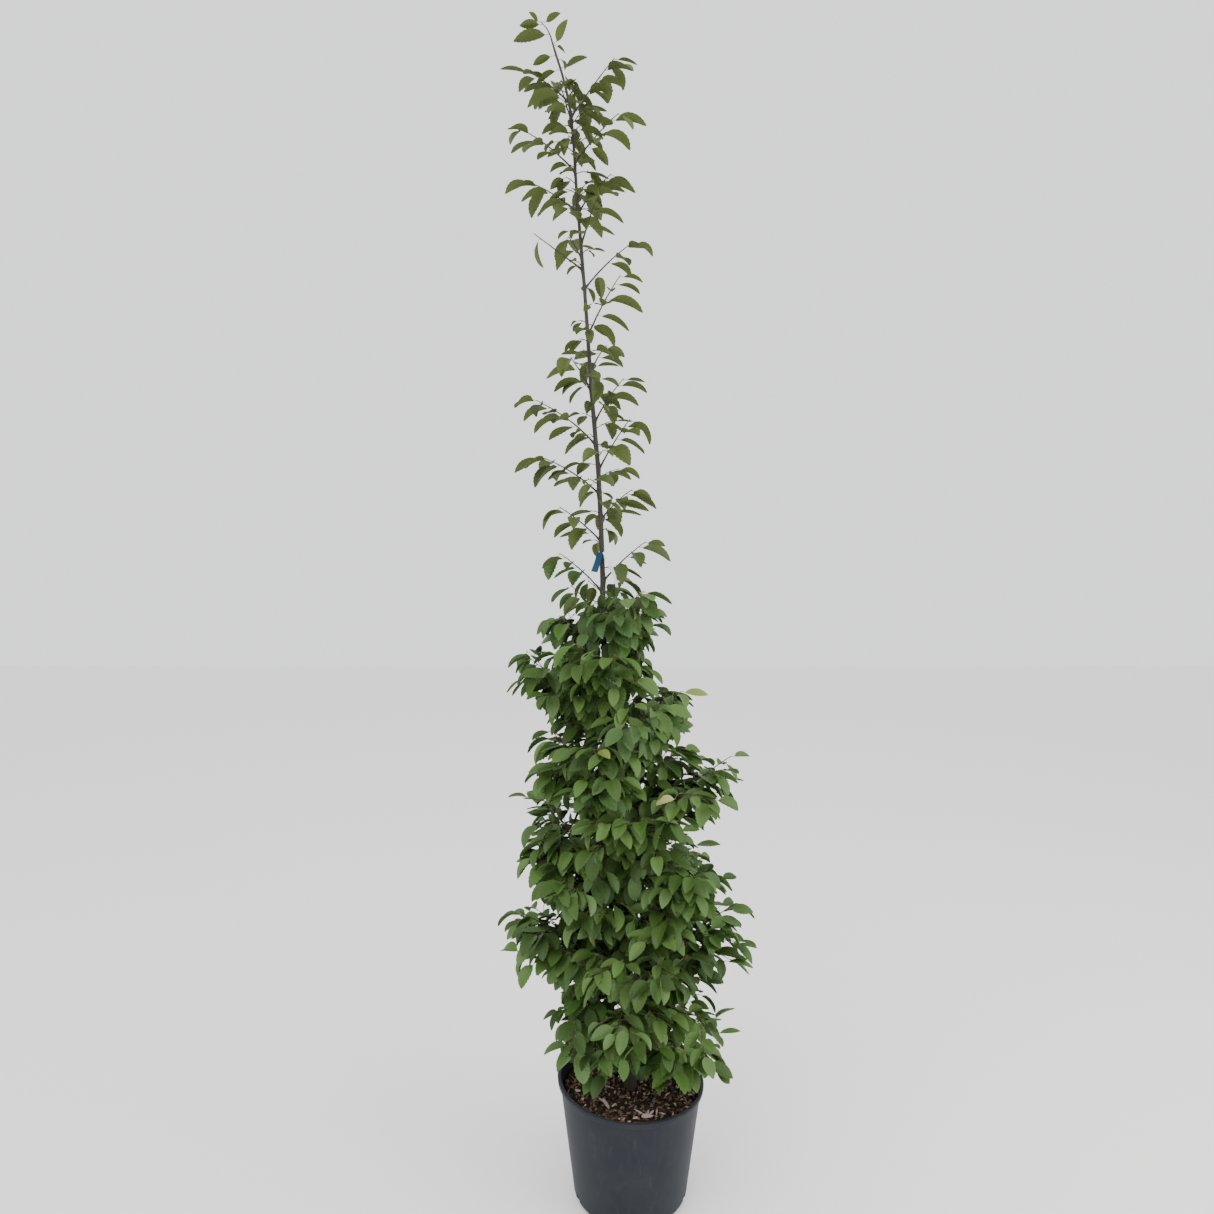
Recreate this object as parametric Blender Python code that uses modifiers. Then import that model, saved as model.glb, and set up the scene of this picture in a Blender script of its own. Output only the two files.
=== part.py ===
"""Potted European hornbeam: a young feathered tree, its nursery pot and the soil in it.

The pot, the soil, the trunk, the label, each bough and each mass of foliage is a solid of its own.
A mass is a stem that goes on from its bough or from the trunk, with side twigs and leaves fused on
by a seeded rule, and it keeps to the space that is nearer its own stem than any other.

Units are metres and degrees, +Z is up, and the origin is the centre of the pot's flat underside.
Headings are measured from +X towards +Y, so 0 is to the right, 90 is away and 270 is to the front.
"""

from collections import namedtuple
from functools import lru_cache
from math import cos, exp, pi, radians, sin
from random import Random

import bmesh
import bpy
import numpy as np
from mathutils import Matrix, Vector
from mathutils.bvhtree import BVHTree

GAP = 0.0003

# Pot, a blow-moulded nursery container
POT_HEIGHT = 0.290
RIM_RADIUS = 0.175
RIM_DEPTH = 0.012
RIM_OVERHANG = 0.0065
RIM_ROUND = 0.002
RIM_INNER_ROUND = 0.003
POT_WALL = 0.0022
FOOT_RADIUS = 0.1377
FOOT_ROUNDING = 0.021
RIDGE_HEIGHT = 0.243
RIDGE_WIDTH = 0.005
RIDGE_RELIEF = 0.0009
POT_STEPS = 32
CORNER_STEPS = 3
SLOTS = 8
SLOT_WIDTH = 0.020
SLOT_LOW = 0.004
SLOT_HIGH = 0.026
SLOT_REACH = 0.040
SLOT_FIRST_HEADING = 23.0

# Soil, a body that fills the pot, a little higher round the trunk
SOIL_TOP = 0.262
SOIL_EDGE_TOP = 0.256
SOIL_SHOULDER = 0.10

# Trunk: the height, x and y of its centre line, from the flat cut on the soil to its tip
TRUNK_LINE = (
    (SOIL_TOP + GAP, 0.001, 0.000),
    (0.290, 0.001, 0.000),
    (0.400, -0.004, 0.004),
    (0.570, -0.020, 0.010),
    (0.750, -0.030, 0.006),
    (1.070, -0.052, -0.006),
    (1.280, -0.062, -0.002),
    (1.540, -0.068, 0.008),
    (1.735, -0.077, 0.012),
    (1.890, -0.090, 0.006),
    (2.110, -0.105, -0.004),
    (2.320, -0.122, -0.002),
    (2.500, -0.135, 0.006),
    (2.573, -0.150, 0.008),
    (2.640, -0.171, 0.008),
)
TRUNK_FOOT_RADIUS = 0.0105
TRUNK_TIP_RADIUS = 0.0026
TRUNK_TAPER = 1.1
FLARE = 0.0055
FLARE_HEIGHT = 0.028
FLARE_RINGS = (0.006, 0.016, 0.034, 0.065)
TRUNK_RINGS = 26

# Label, a plain strip looped round the trunk with two loose ends
LABEL_HEIGHT = 1.543
LABEL_LOOP_WIDTH = 0.016
LABEL_THICKNESS = 0.0009
LABEL_EASE = 0.0007
LABEL_STEPS = 20
LABEL_ENDS = ((236.0, 0.050, 0.016), (318.0, 0.088, 0.014))  # heading, length, width
LABEL_END_TILT = 28.0
LABEL_END_THICKNESS = 1.4 * LABEL_THICKNESS
LABEL_END_DEPTH = 0.4 * LABEL_THICKNESS
LABEL_END_RISE = 0.0024
LABEL_END_ROOM = 0.020

# Limbs and masses. Each row is a height on the trunk, a heading, the length of the bough, the
# length of the stem that goes on from it, how steeply it rises, and how much it bends on the way.
Mass = namedtuple("Mass", "name height heading bough stem rise bend twigs leaves")

LOW_MASSES = (
    # height, heading, bough, stem, rise, bend
    (0.400, 322, 0.060, 0.165, 20, -40),
    (0.425, 226, 0.050, 0.130, 22, -42),
    (0.455, 85, 0.060, 0.160, 36, -26),
    (0.500, 10, 0.060, 0.215, 46, -18),
    (0.525, 186, 0.060, 0.235, 46, -16),
    (0.510, 268, 0.050, 0.190, 52, -18),
    (0.550, 130, 0.000, 0.260, 54, -14),
    (0.590, 40, 0.000, 0.260, 56, -12),
    (0.620, 325, 0.000, 0.270, 54, -12),
    (0.660, 215, 0.000, 0.260, 56, -12),
    (0.710, 85, 0.000, 0.250, 60, -12),
    (0.740, 170, 0.000, 0.260, 56, -10),
    (0.790, 275, 0.000, 0.230, 62, -12),
    (0.870, 357, 0.060, 0.255, 43, -8),
    (0.880, 28, 0.000, 0.230, 60, -10),
    (0.930, 230, 0.000, 0.230, 60, -8),
    (0.970, 120, 0.000, 0.230, 60, -10),
    (1.030, 305, 0.000, 0.210, 62, -10),
    (1.095, 12, 0.000, 0.185, 48, -8),
    (1.145, 182, 0.000, 0.185, 50, -12),
    (1.180, 258, 0.000, 0.190, 62, -8),
    (1.225, 70, 0.000, 0.200, 62, -8),
    (1.285, 160, 0.000, 0.145, 56, -10),
    (1.325, 320, 0.000, 0.165, 60, -8),
)
SHOOTS = (
    # height, heading, stem, rise, bend, leaves
    (1.395, 215, 0.110, 52, -12, 7),
    (1.425, 60, 0.120, 50, -14, 7),
    (1.465, 152, 0.130, 44, -14, 8),
    (1.490, 336, 0.125, 48, -14, 8),
    (1.580, 205, 0.115, 44, -14, 6),
    (1.630, 35, 0.100, 46, -16, 5),
    (1.688, 165, 0.155, 42, -22, 7),
    (1.745, 348, 0.120, 62, -10, 6),
    (1.798, 196, 0.155, 46, -24, 8),
    (1.850, 20, 0.110, 62, -14, 6),
    (1.915, 236, 0.090, 46, -16, 5),
    (1.955, 66, 0.105, 48, -14, 6),
    (2.040, 332, 0.130, 62, -12, 6),
    (2.137, 14, 0.145, 52, -16, 6),
    (2.175, 188, 0.120, 34, 0, 1),
    (2.200, 112, 0.105, 48, -16, 5),
    (2.230, 305, 0.100, 58, -8, 6),
    (2.297, 160, 0.125, 44, -18, 7),
    (2.300, 38, 0.130, 56, -16, 6),
    (2.385, 195, 0.130, 44, -22, 8),
    (2.405, 335, 0.125, 46, -14, 7),
    (2.480, 250, 0.080, 50, -20, 6),
    (2.505, 18, 0.160, 56, -4, 7),
    (2.535, 170, 0.100, 46, -16, 7),
)
LEADER = (150, 0.072, 80, -38, 8)  # heading, stem, rise, bend, leaves
LEADER_STRAIGHT = 0.012
LOW_TWIGS = 3
LOW_LEAVES = 8

# Twigs: those of a mass leave its stem by turns left and right
BOUGH_FOOT_RADIUS = 0.0042
BOUGH_TIP_RADIUS = 0.0028
STEM_TIP_RADIUS = 0.0016
SHOOT_FOOT_RADIUS = 0.0022
TWIG_FOOT_RADIUS = 0.0018
TWIG_TIP_RADIUS = 0.0013
TWIG_LENGTH = 0.120
TWIG_SPLAY = 48.0
TWIG_DROP = 16.0
TWIG_BEND = -26.0
TWIG_LEAVES = 4
TWIG_LEAVES_FROM = 0.25
TWIG_SHORTENING = 0.5
FIRST_TWIG = 0.14
LAST_TWIG = 0.80
LOW_LEAVES_FROM = 0.06
HIGH_LEAVES_FROM = 0.26
SEAT_REACH = 0.006
BOUGH_STEPS = 3
STEM_STEPS = 5
TWIG_STEPS = 2
KINK = 5.0

# Leaves, by turns left and right, hanging more the lower they are on the tree
LOW_LEAF = 0.104
HIGH_LEAF = 0.072
LEAF_WIDTH = 0.60
LEAF_THICKNESS = 0.028
LEAF_WIDEST = 0.42
LEAF_ARCH = 0.05
LEAF_SINK = 0.0004
LEAF_SPLAY = 55.0
LOW_DROOP = 52.0
HIGH_DROOP = 22.0
DENSE_TOP = 1.46
DENSE_FADE = 0.12
BLADE_MARGIN = 1.02
BLADE_ROOT = 0.16
LAST_LEAF_AT = 0.995
TRIES = 10
SHRINK_PER_TRY = 0.03

# Space: how finely the lines of a mass are measured, what it leaves to its neighbours, and how
# far its foliage hangs under its twigs
SPACE_SAMPLES = 8
SPACE_MARGIN = 0.001
LEAF_HANG = 0.025
LIMB_MARGIN = 0.0012
POT_MARGIN = 0.005
TRUNK_SLEEVE_STEP = 0.020

# Colours, sRGB from 0 to 255: the foliage goes from green at the foot to olive at the top
POT_GREY = (65, 68, 75)
SOIL_BROWN = (58, 50, 40)
TRUNK_GREY = (78, 74, 66)
BOUGH_GREY = (84, 78, 68)
LABEL_BLUE = (70, 110, 180)
LOW_GREEN = (72, 88, 50)
HIGH_OLIVE = (106, 112, 74)

SHARP_ANGLE = 35.0
SEED = 7


def direction(heading, rise):
    """The unit vector of a heading and a rise in degrees."""
    level = cos(radians(rise))
    return Vector((level * cos(radians(heading)), level * sin(radians(heading)), sin(radians(rise))))


def smooth_centre(height):
    """The trunk's centre at a height, on a smooth line through TRUNK_LINE."""
    heights = [row[0] for row in TRUNK_LINE]
    last = len(heights) - 2
    span = max(0, min(last, sum(height > low for low in heights[1:])))
    rows = [TRUNK_LINE[max(0, min(len(heights) - 1, span + step))] for step in (-1, 0, 1, 2)]
    t = (height - rows[1][0]) / (rows[2][0] - rows[1][0])
    width = rows[2][0] - rows[1][0]
    across = []
    for axis in (1, 2):
        before, here, there, after = (row[axis] for row in rows)
        leave = (there - before) / max(rows[2][0] - rows[0][0], 1e-6) * width
        reach = (after - here) / max(rows[3][0] - rows[1][0], 1e-6) * width
        across.append(
            here * (2 * t**3 - 3 * t**2 + 1)
            + leave * (t**3 - 2 * t**2 + t)
            + there * (3 * t**2 - 2 * t**3)
            + reach * (t**3 - t**2)
        )
    return Vector((across[0], across[1], height))


def smooth_radius(height):
    """The trunk's radius: an even taper with a flare at the root."""
    foot, tip = TRUNK_LINE[0][0], TRUNK_LINE[-1][0]
    left = 1 - (height - foot) / (tip - foot)
    taper = TRUNK_TIP_RADIUS + (TRUNK_FOOT_RADIUS - TRUNK_TIP_RADIUS) * max(left, 0) ** TRUNK_TAPER
    return taper + FLARE * exp(-(height - foot) / FLARE_HEIGHT)


def ring_heights():
    """The heights of the trunk's rings: closer together over the root flare."""
    foot, tip = TRUNK_LINE[0][0], TRUNK_LINE[-1][0]
    heights = [foot] + [foot + rise for rise in FLARE_RINGS]
    low = heights[-1]
    return heights + [low + (tip - low) * (k + 1) / TRUNK_RINGS for k in range(TRUNK_RINGS)]


@lru_cache
def trunk_rings():
    """The centre and the radius of each ring. The lowest two stand straight, for a level cut."""
    rings = [(smooth_centre(height), smooth_radius(height)) for height in ring_heights()]
    rings[1][0].xy = rings[0][0].xy
    return rings


def trunk_between(height):
    """The rings under and over a height, and the share of the way between them."""
    rings = trunk_rings()
    step = max(0, min(len(rings) - 2, sum(height > ring[0].z for ring in rings[1:])))
    low, high = rings[step], rings[step + 1]
    return low, high, (height - low[0].z) / (high[0].z - low[0].z)


def trunk_centre(height):
    low, high, share = trunk_between(height)
    return low[0].lerp(high[0], share)


def trunk_radius(height):
    low, high, share = trunk_between(height)
    return low[1] + (high[1] - low[1]) * share


def shoot_line(start, heading, rise, length, bend, steps, kink=0.0):
    """Points along a shoot that leaves at a rise and bends on its way, kinked left and right."""
    points = [Vector(start)]
    for step in range(steps):
        turned = heading + kink * (-1) ** step
        points.append(points[-1] + direction(turned, rise + bend * (step + 0.5) / steps) * (length / steps))
    return points


def along(points, share):
    """The place at a share of a line's length."""
    at = share * (len(points) - 1)
    step = min(int(at), len(points) - 2)
    return points[step].lerp(points[step + 1], at - step)


def off_trunk(height, heading, rise, radius):
    """Where a limb of this radius starts, so that its end face just clears the trunk."""
    outward = direction(heading, 0)
    low, high, _ = trunk_between(height)
    lean = (high[0] - low[0]).dot(outward) / (high[0].z - low[0].z)
    clear = trunk_radius(height) + radius * (sin(radians(rise)) + max(lean, 0)) + GAP
    return trunk_centre(height) + outward * clear


def all_masses():
    """Every mass, from the lowest to the leader's tip."""
    masses = []
    for number, (height, heading, bough, stem, rise, bend) in enumerate(LOW_MASSES, 1):
        name = f"low_mass_{number:02d}"
        masses.append(Mass(name, height, heading, bough, stem, rise, bend, LOW_TWIGS, LOW_LEAVES))
    for number, (height, heading, stem, rise, bend, leaves) in enumerate(SHOOTS, 1):
        masses.append(Mass(f"side_shoot_{number:02d}", height, heading, 0.0, stem, rise, bend, 0, leaves))
    heading, stem, rise, bend, leaves = LEADER
    masses.append(Mass("leader_tip", TRUNK_LINE[-1][0], heading, 0.0, stem, rise, bend, 0, leaves))
    return masses


def limb_of(mass):
    """The lines of a mass's bough, or None, and of its stem."""
    if mass.name == "leader_tip":
        top = trunk_centre(mass.height)
        upward = (top - trunk_rings()[-2][0]).normalized()
        start = top + upward * GAP
        first = start + upward * LEADER_STRAIGHT
        rest = shoot_line(first, mass.heading, mass.rise, mass.stem, mass.bend, STEM_STEPS - 1)
        return None, [start] + rest
    share = mass.bough / (mass.bough + mass.stem)
    if not mass.bough:
        start = off_trunk(mass.height, mass.heading, mass.rise, SHOOT_FOOT_RADIUS)
        stem = shoot_line(start, mass.heading, mass.rise, mass.stem, mass.bend, STEM_STEPS, KINK)
        return None, stem
    start = off_trunk(mass.height, mass.heading, mass.rise, BOUGH_FOOT_RADIUS)
    bough = shoot_line(start, mass.heading, mass.rise, mass.bough, mass.bend * share, BOUGH_STEPS)
    last = (bough[-1] - bough[-2]).normalized()
    rise = mass.rise + mass.bend * share
    stem = shoot_line(
        bough[-1] + last * GAP, mass.heading, rise, mass.stem, mass.bend * (1 - share), STEM_STEPS
    )
    return bough, stem


def droop_at(height):
    """How far leaves hang below level at a height."""
    mix = min(max((height - DENSE_TOP) / DENSE_FADE, 0), 1)
    return LOW_DROOP + (HIGH_DROOP - LOW_DROOP) * mix


def leaf_corners(root, heading, droop, roll, length):
    """The five points of an arched leaf: base, right, tip, left, and the keel under its middle."""
    ahead = direction(heading, -droop)
    side = Vector((-sin(radians(heading)), cos(radians(heading)), 0))
    up = ahead.cross(side)
    turn = Matrix.Rotation(radians(roll), 3, ahead)
    side, up = turn @ side, turn @ up
    middle = root + ahead * (length * LEAF_WIDEST) + up * (length * LEAF_ARCH)
    spread = side * (length * LEAF_WIDTH / 2)
    base = root - ahead * LEAF_SINK
    keel = middle - up * (length * LEAF_THICKNESS)
    return [base, middle - spread, root + ahead * length, middle + spread, keel]


def leaf_blade(corners):
    """A leaf without its root, and a little larger, to test it against its neighbours."""
    base, tip, keel = corners[0], corners[2], corners[4]
    larger = [keel + (corner - keel) * BLADE_MARGIN for corner in corners]
    larger[0] = base.lerp(tip, BLADE_ROOT)
    larger[4] = keel
    return larger


LEAF_FACES = ((0, 1, 3), (1, 2, 3), (0, 3, 4), (3, 2, 4), (2, 1, 4), (1, 0, 4))


def sleeve(points, radii):
    """A square sleeve round a line, as points and faces, to test what touches it."""
    corners, faces = [], []
    for index, (point, radius) in enumerate(zip(points, radii)):
        ahead = points[min(index + 1, len(points) - 1)] - points[max(index - 1, 0)]
        side = ahead.orthogonal().normalized() if abs(ahead.normalized().z) > 0.95 else None
        side = side or ahead.cross(Vector((0, 0, 1))).normalized()
        over = side.cross(ahead).normalized()
        corners += [point + (side * x + over * y) * radius for x, y in ((1, 1), (-1, 1), (-1, -1), (1, -1))]
        if index:
            low = 4 * (index - 1)
            faces += [(low + k, low + (k + 1) % 4, low + 4 + (k + 1) % 4, low + 4 + k) for k in range(4)]
    return corners, faces


def tree_of(shapes):
    """One search tree of several (points, faces)."""
    points, faces = [], []
    for shape_points, shape_faces in shapes:
        base = len(points)
        points += shape_points
        faces += [tuple(base + corner for corner in face) for face in shape_faces]
    return BVHTree.FromPolygons(points, faces)


class Spaces:
    """The space of each mass: all that is nearer its own lines than those of any other mass."""

    def __init__(self, lines, hang):
        samples = [
            (owner, along(line, share / SPACE_SAMPLES) - Vector((0, 0, hang)))
            for owner, owned in lines.items()
            for line in owned
            for share in range(SPACE_SAMPLES + 1)
        ]
        self.owners = np.array([owner for owner, _ in samples])
        self.samples = np.array([tuple(point) for _, point in samples])

    def holds(self, owner, points):
        """Whether all of these points are in the owner's space and above the pot."""
        places = np.array([tuple(point) for point in points])
        away = np.linalg.norm(self.samples[None] - places[:, None], axis=2)
        mine = self.owners == owner
        inside = away[:, mine].min(axis=1) + SPACE_MARGIN < away[:, ~mine].min(axis=1)
        return bool(inside.all()) and places[:, 2].min() > POT_HEIGHT + POT_MARGIN


class Solids:
    """The limbs and what has grown so far, which a new twig or leaf has to stay clear of."""

    def __init__(self, limbs):
        self.trees = [(None, tree_of(limbs))]

    def add(self, owner, shape):
        self.trees.append((owner, tree_of([shape])))

    def clear(self, shape, owner, own):
        """Whether a shape is clear of its owner's solids, or of everything else."""
        tested = tree_of([shape])
        return not any(
            tree.overlap(tested) for grown, tree in self.trees if (grown == owner) == own
        )


def leaf_spots(line, count, first):
    """Where leaves sit along a shoot: (place, heading, side), the last one at its tip."""
    spots = []
    for number in range(count):
        share = first + (1 - first) * (number / max(count - 1, 1) if count > 1 else 1)
        step = min(int(share * (len(line) - 1)), len(line) - 2)
        ahead = line[step + 1] - line[step]
        heading = np.degrees(np.arctan2(ahead.y, ahead.x))
        side = 0 if number == count - 1 else (-1) ** number
        spots.append((along(line, min(share, LAST_LEAF_AT)), float(heading), side))
    return spots


def grow_twigs(mass, stem, spaces, solids, rng):
    """The stem and the side twigs of a mass, each as its line and its radii at foot and tip."""
    twigs = [(stem, BOUGH_TIP_RADIUS if mass.bough else SHOOT_FOOT_RADIUS, STEM_TIP_RADIUS)]
    for number in range(mass.twigs):
        share = FIRST_TWIG + (LAST_TWIG - FIRST_TWIG) * number / (mass.twigs - 1)
        side = (-1) ** number
        for _ in range(TRIES):
            splay = side * (TWIG_SPLAY + rng.uniform(-20, 20))
            length = TWIG_LENGTH * (1.1 - TWIG_SHORTENING * share) * rng.uniform(0.85, 1.1)
            rise = mass.rise + mass.bend * share - TWIG_DROP + rng.uniform(-12, 12)
            line = shoot_line(
                along(stem, share), mass.heading + splay, rise, length, TWIG_BEND, TWIG_STEPS, KINK
            )
            sheath = sleeve(line, [TWIG_FOOT_RADIUS + LIMB_MARGIN] * len(line))
            if spaces.holds(mass.name, line[1:]) and solids.clear(sheath, mass.name, own=False):
                twigs.append((line, TWIG_FOOT_RADIUS, TWIG_TIP_RADIUS))
                solids.add(mass.name, sheath)
                break
    return twigs


def grow_leaves(mass, twigs, spaces, solids, rng):
    """The leaves of a mass. One that would leave its space or touch something is skipped."""
    spots = leaf_spots(twigs[0][0], mass.leaves, LOW_LEAVES_FROM if mass.twigs else HIGH_LEAVES_FROM)
    for line, _, _ in twigs[1:]:
        spots += leaf_spots(line, TWIG_LEAVES, TWIG_LEAVES_FROM)
    leaves = []
    for root, heading, side in spots:
        full_length = LOW_LEAF if root.z < DENSE_TOP else HIGH_LEAF
        for attempt in range(TRIES):
            turned = heading + side * LEAF_SPLAY + rng.uniform(-1, 1) * (14 + 4 * attempt)
            droop = droop_at(root.z) + rng.uniform(-1, 1) * (14 + 3 * attempt)
            length = full_length * rng.uniform(0.9, 1.08) * (1 - SHRINK_PER_TRY * attempt)
            leaf = leaf_corners(root, turned, droop, rng.uniform(-28, 28), length)
            blade = leaf_blade(leaf)
            if (
                spaces.holds(mass.name, leaf[1:])
                and solids.clear((leaf, LEAF_FACES), mass.name, own=False)
                and solids.clear((blade, LEAF_FACES), mass.name, own=True)
            ):
                solids.add(mass.name, (blade, LEAF_FACES))
                leaves.append(leaf)
                break
    return leaves


def finish(name, colour, roughness):
    """A plain Principled material, its colour given as sRGB from 0 to 255."""
    material = bpy.data.materials.new(name)
    material.use_nodes = True
    linear = [((c / 255 + 0.055) / 1.055) ** 2.4 if c > 10 else c / 255 / 12.92 for c in colour]
    shader = material.node_tree.nodes["Principled BSDF"]
    shader.inputs["Base Color"].default_value = (*linear, 1)
    shader.inputs["Roughness"].default_value = roughness
    shader.inputs["Metallic"].default_value = 0.0
    return material


def clear_scene():
    for obj in list(bpy.data.objects):
        bpy.data.objects.remove(obj)


def new_collection(name, shown):
    collection = bpy.data.collections.new(name)
    collection.hide_render = not shown
    bpy.context.scene.collection.children.link(collection)
    return collection


def mesh_object(name, mesh, collection):
    obj = bpy.data.objects.new(name, mesh)
    collection.objects.link(obj)
    return obj


def tube(name, points, radii, collection, resolution=2, section=None):
    """A tapered tube on a poly line: round, or with the section that is given."""
    curve = bpy.data.curves.new(name, "CURVE")
    curve.dimensions = "3D"
    curve.use_fill_caps = True
    spline = curve.splines.new("POLY")
    spline.points.add(len(points) - 1)
    thickest = max(radii)
    for spot, point, radius in zip(spline.points, points, radii):
        spot.co = (*point, 1)
        spot.radius = radius / thickest if section is None else radius
    if section is None:
        curve.bevel_depth = thickest
        curve.bevel_resolution = resolution
    else:
        curve.bevel_mode = "OBJECT"
        curve.bevel_object = section
    obj = bpy.data.objects.new(name, curve)
    collection.objects.link(obj)
    return obj


def as_mesh(objects, collection):
    """These curves as welded mesh objects, in the same order. The curves are removed."""
    bpy.context.view_layer.update()
    graph = bpy.context.evaluated_depsgraph_get()
    made = []
    for obj in objects:
        mesh = bpy.data.meshes.new_from_object(obj.evaluated_get(graph))
        shape = bmesh.new()
        shape.from_mesh(mesh)
        bmesh.ops.remove_doubles(shape, verts=shape.verts, dist=1e-6)
        bmesh.ops.recalc_face_normals(shape, faces=shape.faces)
        shape.to_mesh(mesh)
        shape.free()
        made.append((obj.name, mesh, obj.matrix_world.copy()))
    for obj in objects:
        bpy.data.objects.remove(obj)
    results = []
    for name, mesh, matrix in made:
        result = mesh_object(name, mesh, collection)
        result.matrix_world = matrix
        results.append(result)
    return results


def turned(name, profile, collection):
    """A solid of revolution about Z from (radius, height) points that run down its outer side."""
    mesh = bpy.data.meshes.new(name)
    shape = bmesh.new()
    verts = [shape.verts.new((radius, 0, height)) for radius, height in profile]
    for first, second in zip(verts, verts[1:]):
        shape.edges.new((first, second))
    shape.to_mesh(mesh)
    shape.free()
    obj = mesh_object(name, mesh, collection)
    screw = obj.modifiers.new("Turn", "SCREW")
    screw.steps = screw.render_steps = POT_STEPS
    screw.use_merge_vertices = True
    screw.merge_threshold = 1e-5
    return obj


def shade_round(obj):
    obj.data.shade_smooth()
    obj.data.set_sharp_from_angle(angle=radians(SHARP_ANGLE))


def foot_arc(radius, corner, low):
    """The rounded corner between a pot's wall and its base, from the wall inwards."""
    turns = [pi / 2 * step / CORNER_STEPS for step in range(CORNER_STEPS + 1)]
    return [(radius - corner + corner * cos(turn), low + corner - corner * sin(turn)) for turn in turns]


def wall_radius(height):
    """The outside of the pot's wall at a height, under the rim."""
    share = (height - FOOT_ROUNDING) / (POT_HEIGHT - RIM_DEPTH - FOOT_ROUNDING)
    return FOOT_RADIUS + (RIM_RADIUS - RIM_OVERHANG - FOOT_RADIUS) * share


def make_pot(parts, cutters):
    """The container: a thin tapered shell with a rolled rim, one low ridge and slots in its foot."""
    under_rim = POT_HEIGHT - RIM_DEPTH
    inner_corner = FOOT_ROUNDING - POT_WALL
    inner_arc = foot_arc(FOOT_RADIUS - POT_WALL, inner_corner, POT_WALL)
    ridge = (
        (wall_radius(RIDGE_HEIGHT + RIDGE_WIDTH / 2), RIDGE_HEIGHT + RIDGE_WIDTH / 2),
        (wall_radius(RIDGE_HEIGHT) + RIDGE_RELIEF, RIDGE_HEIGHT),
        (wall_radius(RIDGE_HEIGHT - RIDGE_WIDTH / 2), RIDGE_HEIGHT - RIDGE_WIDTH / 2),
    )
    profile = [(0, POT_WALL)]
    profile += inner_arc[::-1]
    profile += [
        (RIM_RADIUS - RIM_OVERHANG - POT_WALL, under_rim),
        (RIM_RADIUS - RIM_OVERHANG - POT_WALL, POT_HEIGHT - RIM_INNER_ROUND),
        (RIM_RADIUS - RIM_OVERHANG - POT_WALL + RIM_INNER_ROUND, POT_HEIGHT),
        (RIM_RADIUS - RIM_ROUND, POT_HEIGHT),
        (RIM_RADIUS, POT_HEIGHT - RIM_ROUND),
        (RIM_RADIUS - RIM_ROUND / 2, under_rim),
        (RIM_RADIUS - RIM_OVERHANG, under_rim),
    ]
    profile += ridge
    profile += foot_arc(FOOT_RADIUS, FOOT_ROUNDING, 0)
    profile += [(0, 0)]
    pot = turned("pot", profile, parts)

    mesh = bpy.data.meshes.new("slot_cutters")
    shape = bmesh.new()
    for number in range(SLOTS):
        heading = SLOT_FIRST_HEADING + 360 / SLOTS * number
        size = Matrix.Diagonal((SLOT_REACH, SLOT_WIDTH, SLOT_HIGH - SLOT_LOW, 1))
        middle = direction(heading, 0) * FOOT_RADIUS + Vector((0, 0, (SLOT_LOW + SLOT_HIGH) / 2))
        turn = Matrix.Translation(middle) @ Matrix.Rotation(radians(heading), 4, "Z")
        bmesh.ops.create_cube(shape, size=1, matrix=turn @ size)
    shape.to_mesh(mesh)
    shape.free()
    slots = mesh_object("slot_cutters", mesh, cutters)
    slots.hide_render = True
    slots.display_type = "WIRE"
    cut = pot.modifiers.new("Slots", "BOOLEAN")
    cut.object = slots
    cut.operation = "DIFFERENCE"
    pot.data.materials.append(finish("pot_plastic", POT_GREY, 0.5))


def make_soil(parts):
    """The soil, 0.3 mm clear of the pot all round."""
    floor = POT_WALL + GAP
    corner = FOOT_ROUNDING - POT_WALL
    inset = POT_WALL + 2 * GAP
    profile = [(0, SOIL_TOP), (SOIL_SHOULDER, SOIL_TOP)]
    profile += [(wall_radius(SOIL_EDGE_TOP) - inset, SOIL_EDGE_TOP)]
    profile += foot_arc(FOOT_RADIUS - inset, corner, floor)
    profile += [(0, floor)]
    soil = turned("soil", profile, parts)
    soil.data.materials.append(finish("bark_mulch", SOIL_BROWN, 0.95))


def make_trunk(parts):
    """One tapering stem with its lean and its root flare, from a flat cut on the soil to its tip.

    Returns the search tree of its surface.
    """
    rings = trunk_rings()
    curve = tube("trunk", [centre for centre, _ in rings], [radius for _, radius in rings], parts)
    trunk = as_mesh([curve], parts)[0]
    trunk.data.materials.append(finish("trunk_bark", TRUNK_GREY, 0.85))
    return tree_of([mesh_shape(trunk.data)])


def mesh_shape(mesh):
    """The points and the faces of a mesh."""
    return [vert.co.copy() for vert in mesh.vertices], [tuple(face.vertices) for face in mesh.polygons]


def seat(limb, start, heading, bark):
    """Moves the foot of a limb towards the trunk until its nearest point is just clear of the bark."""
    inward = -direction(heading, 0)
    foot = [vert for vert in limb.data.vertices if (vert.co - start).length < SEAT_REACH]
    ring = [vert.co.copy() for vert in foot]
    middle = sum(ring, Vector()) / len(ring)
    spots = ring + [middle] + [spot.lerp(middle, 0.5) for spot in ring]
    spots += [one.lerp(other, 0.5) for one in ring for other in ring if one is not other]
    hits = [bark.ray_cast(spot, inward) for spot in spots]
    room = min(hit[3] for hit in hits if hit[0]) - GAP
    for vert in foot:
        vert.co += inward * room


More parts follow.
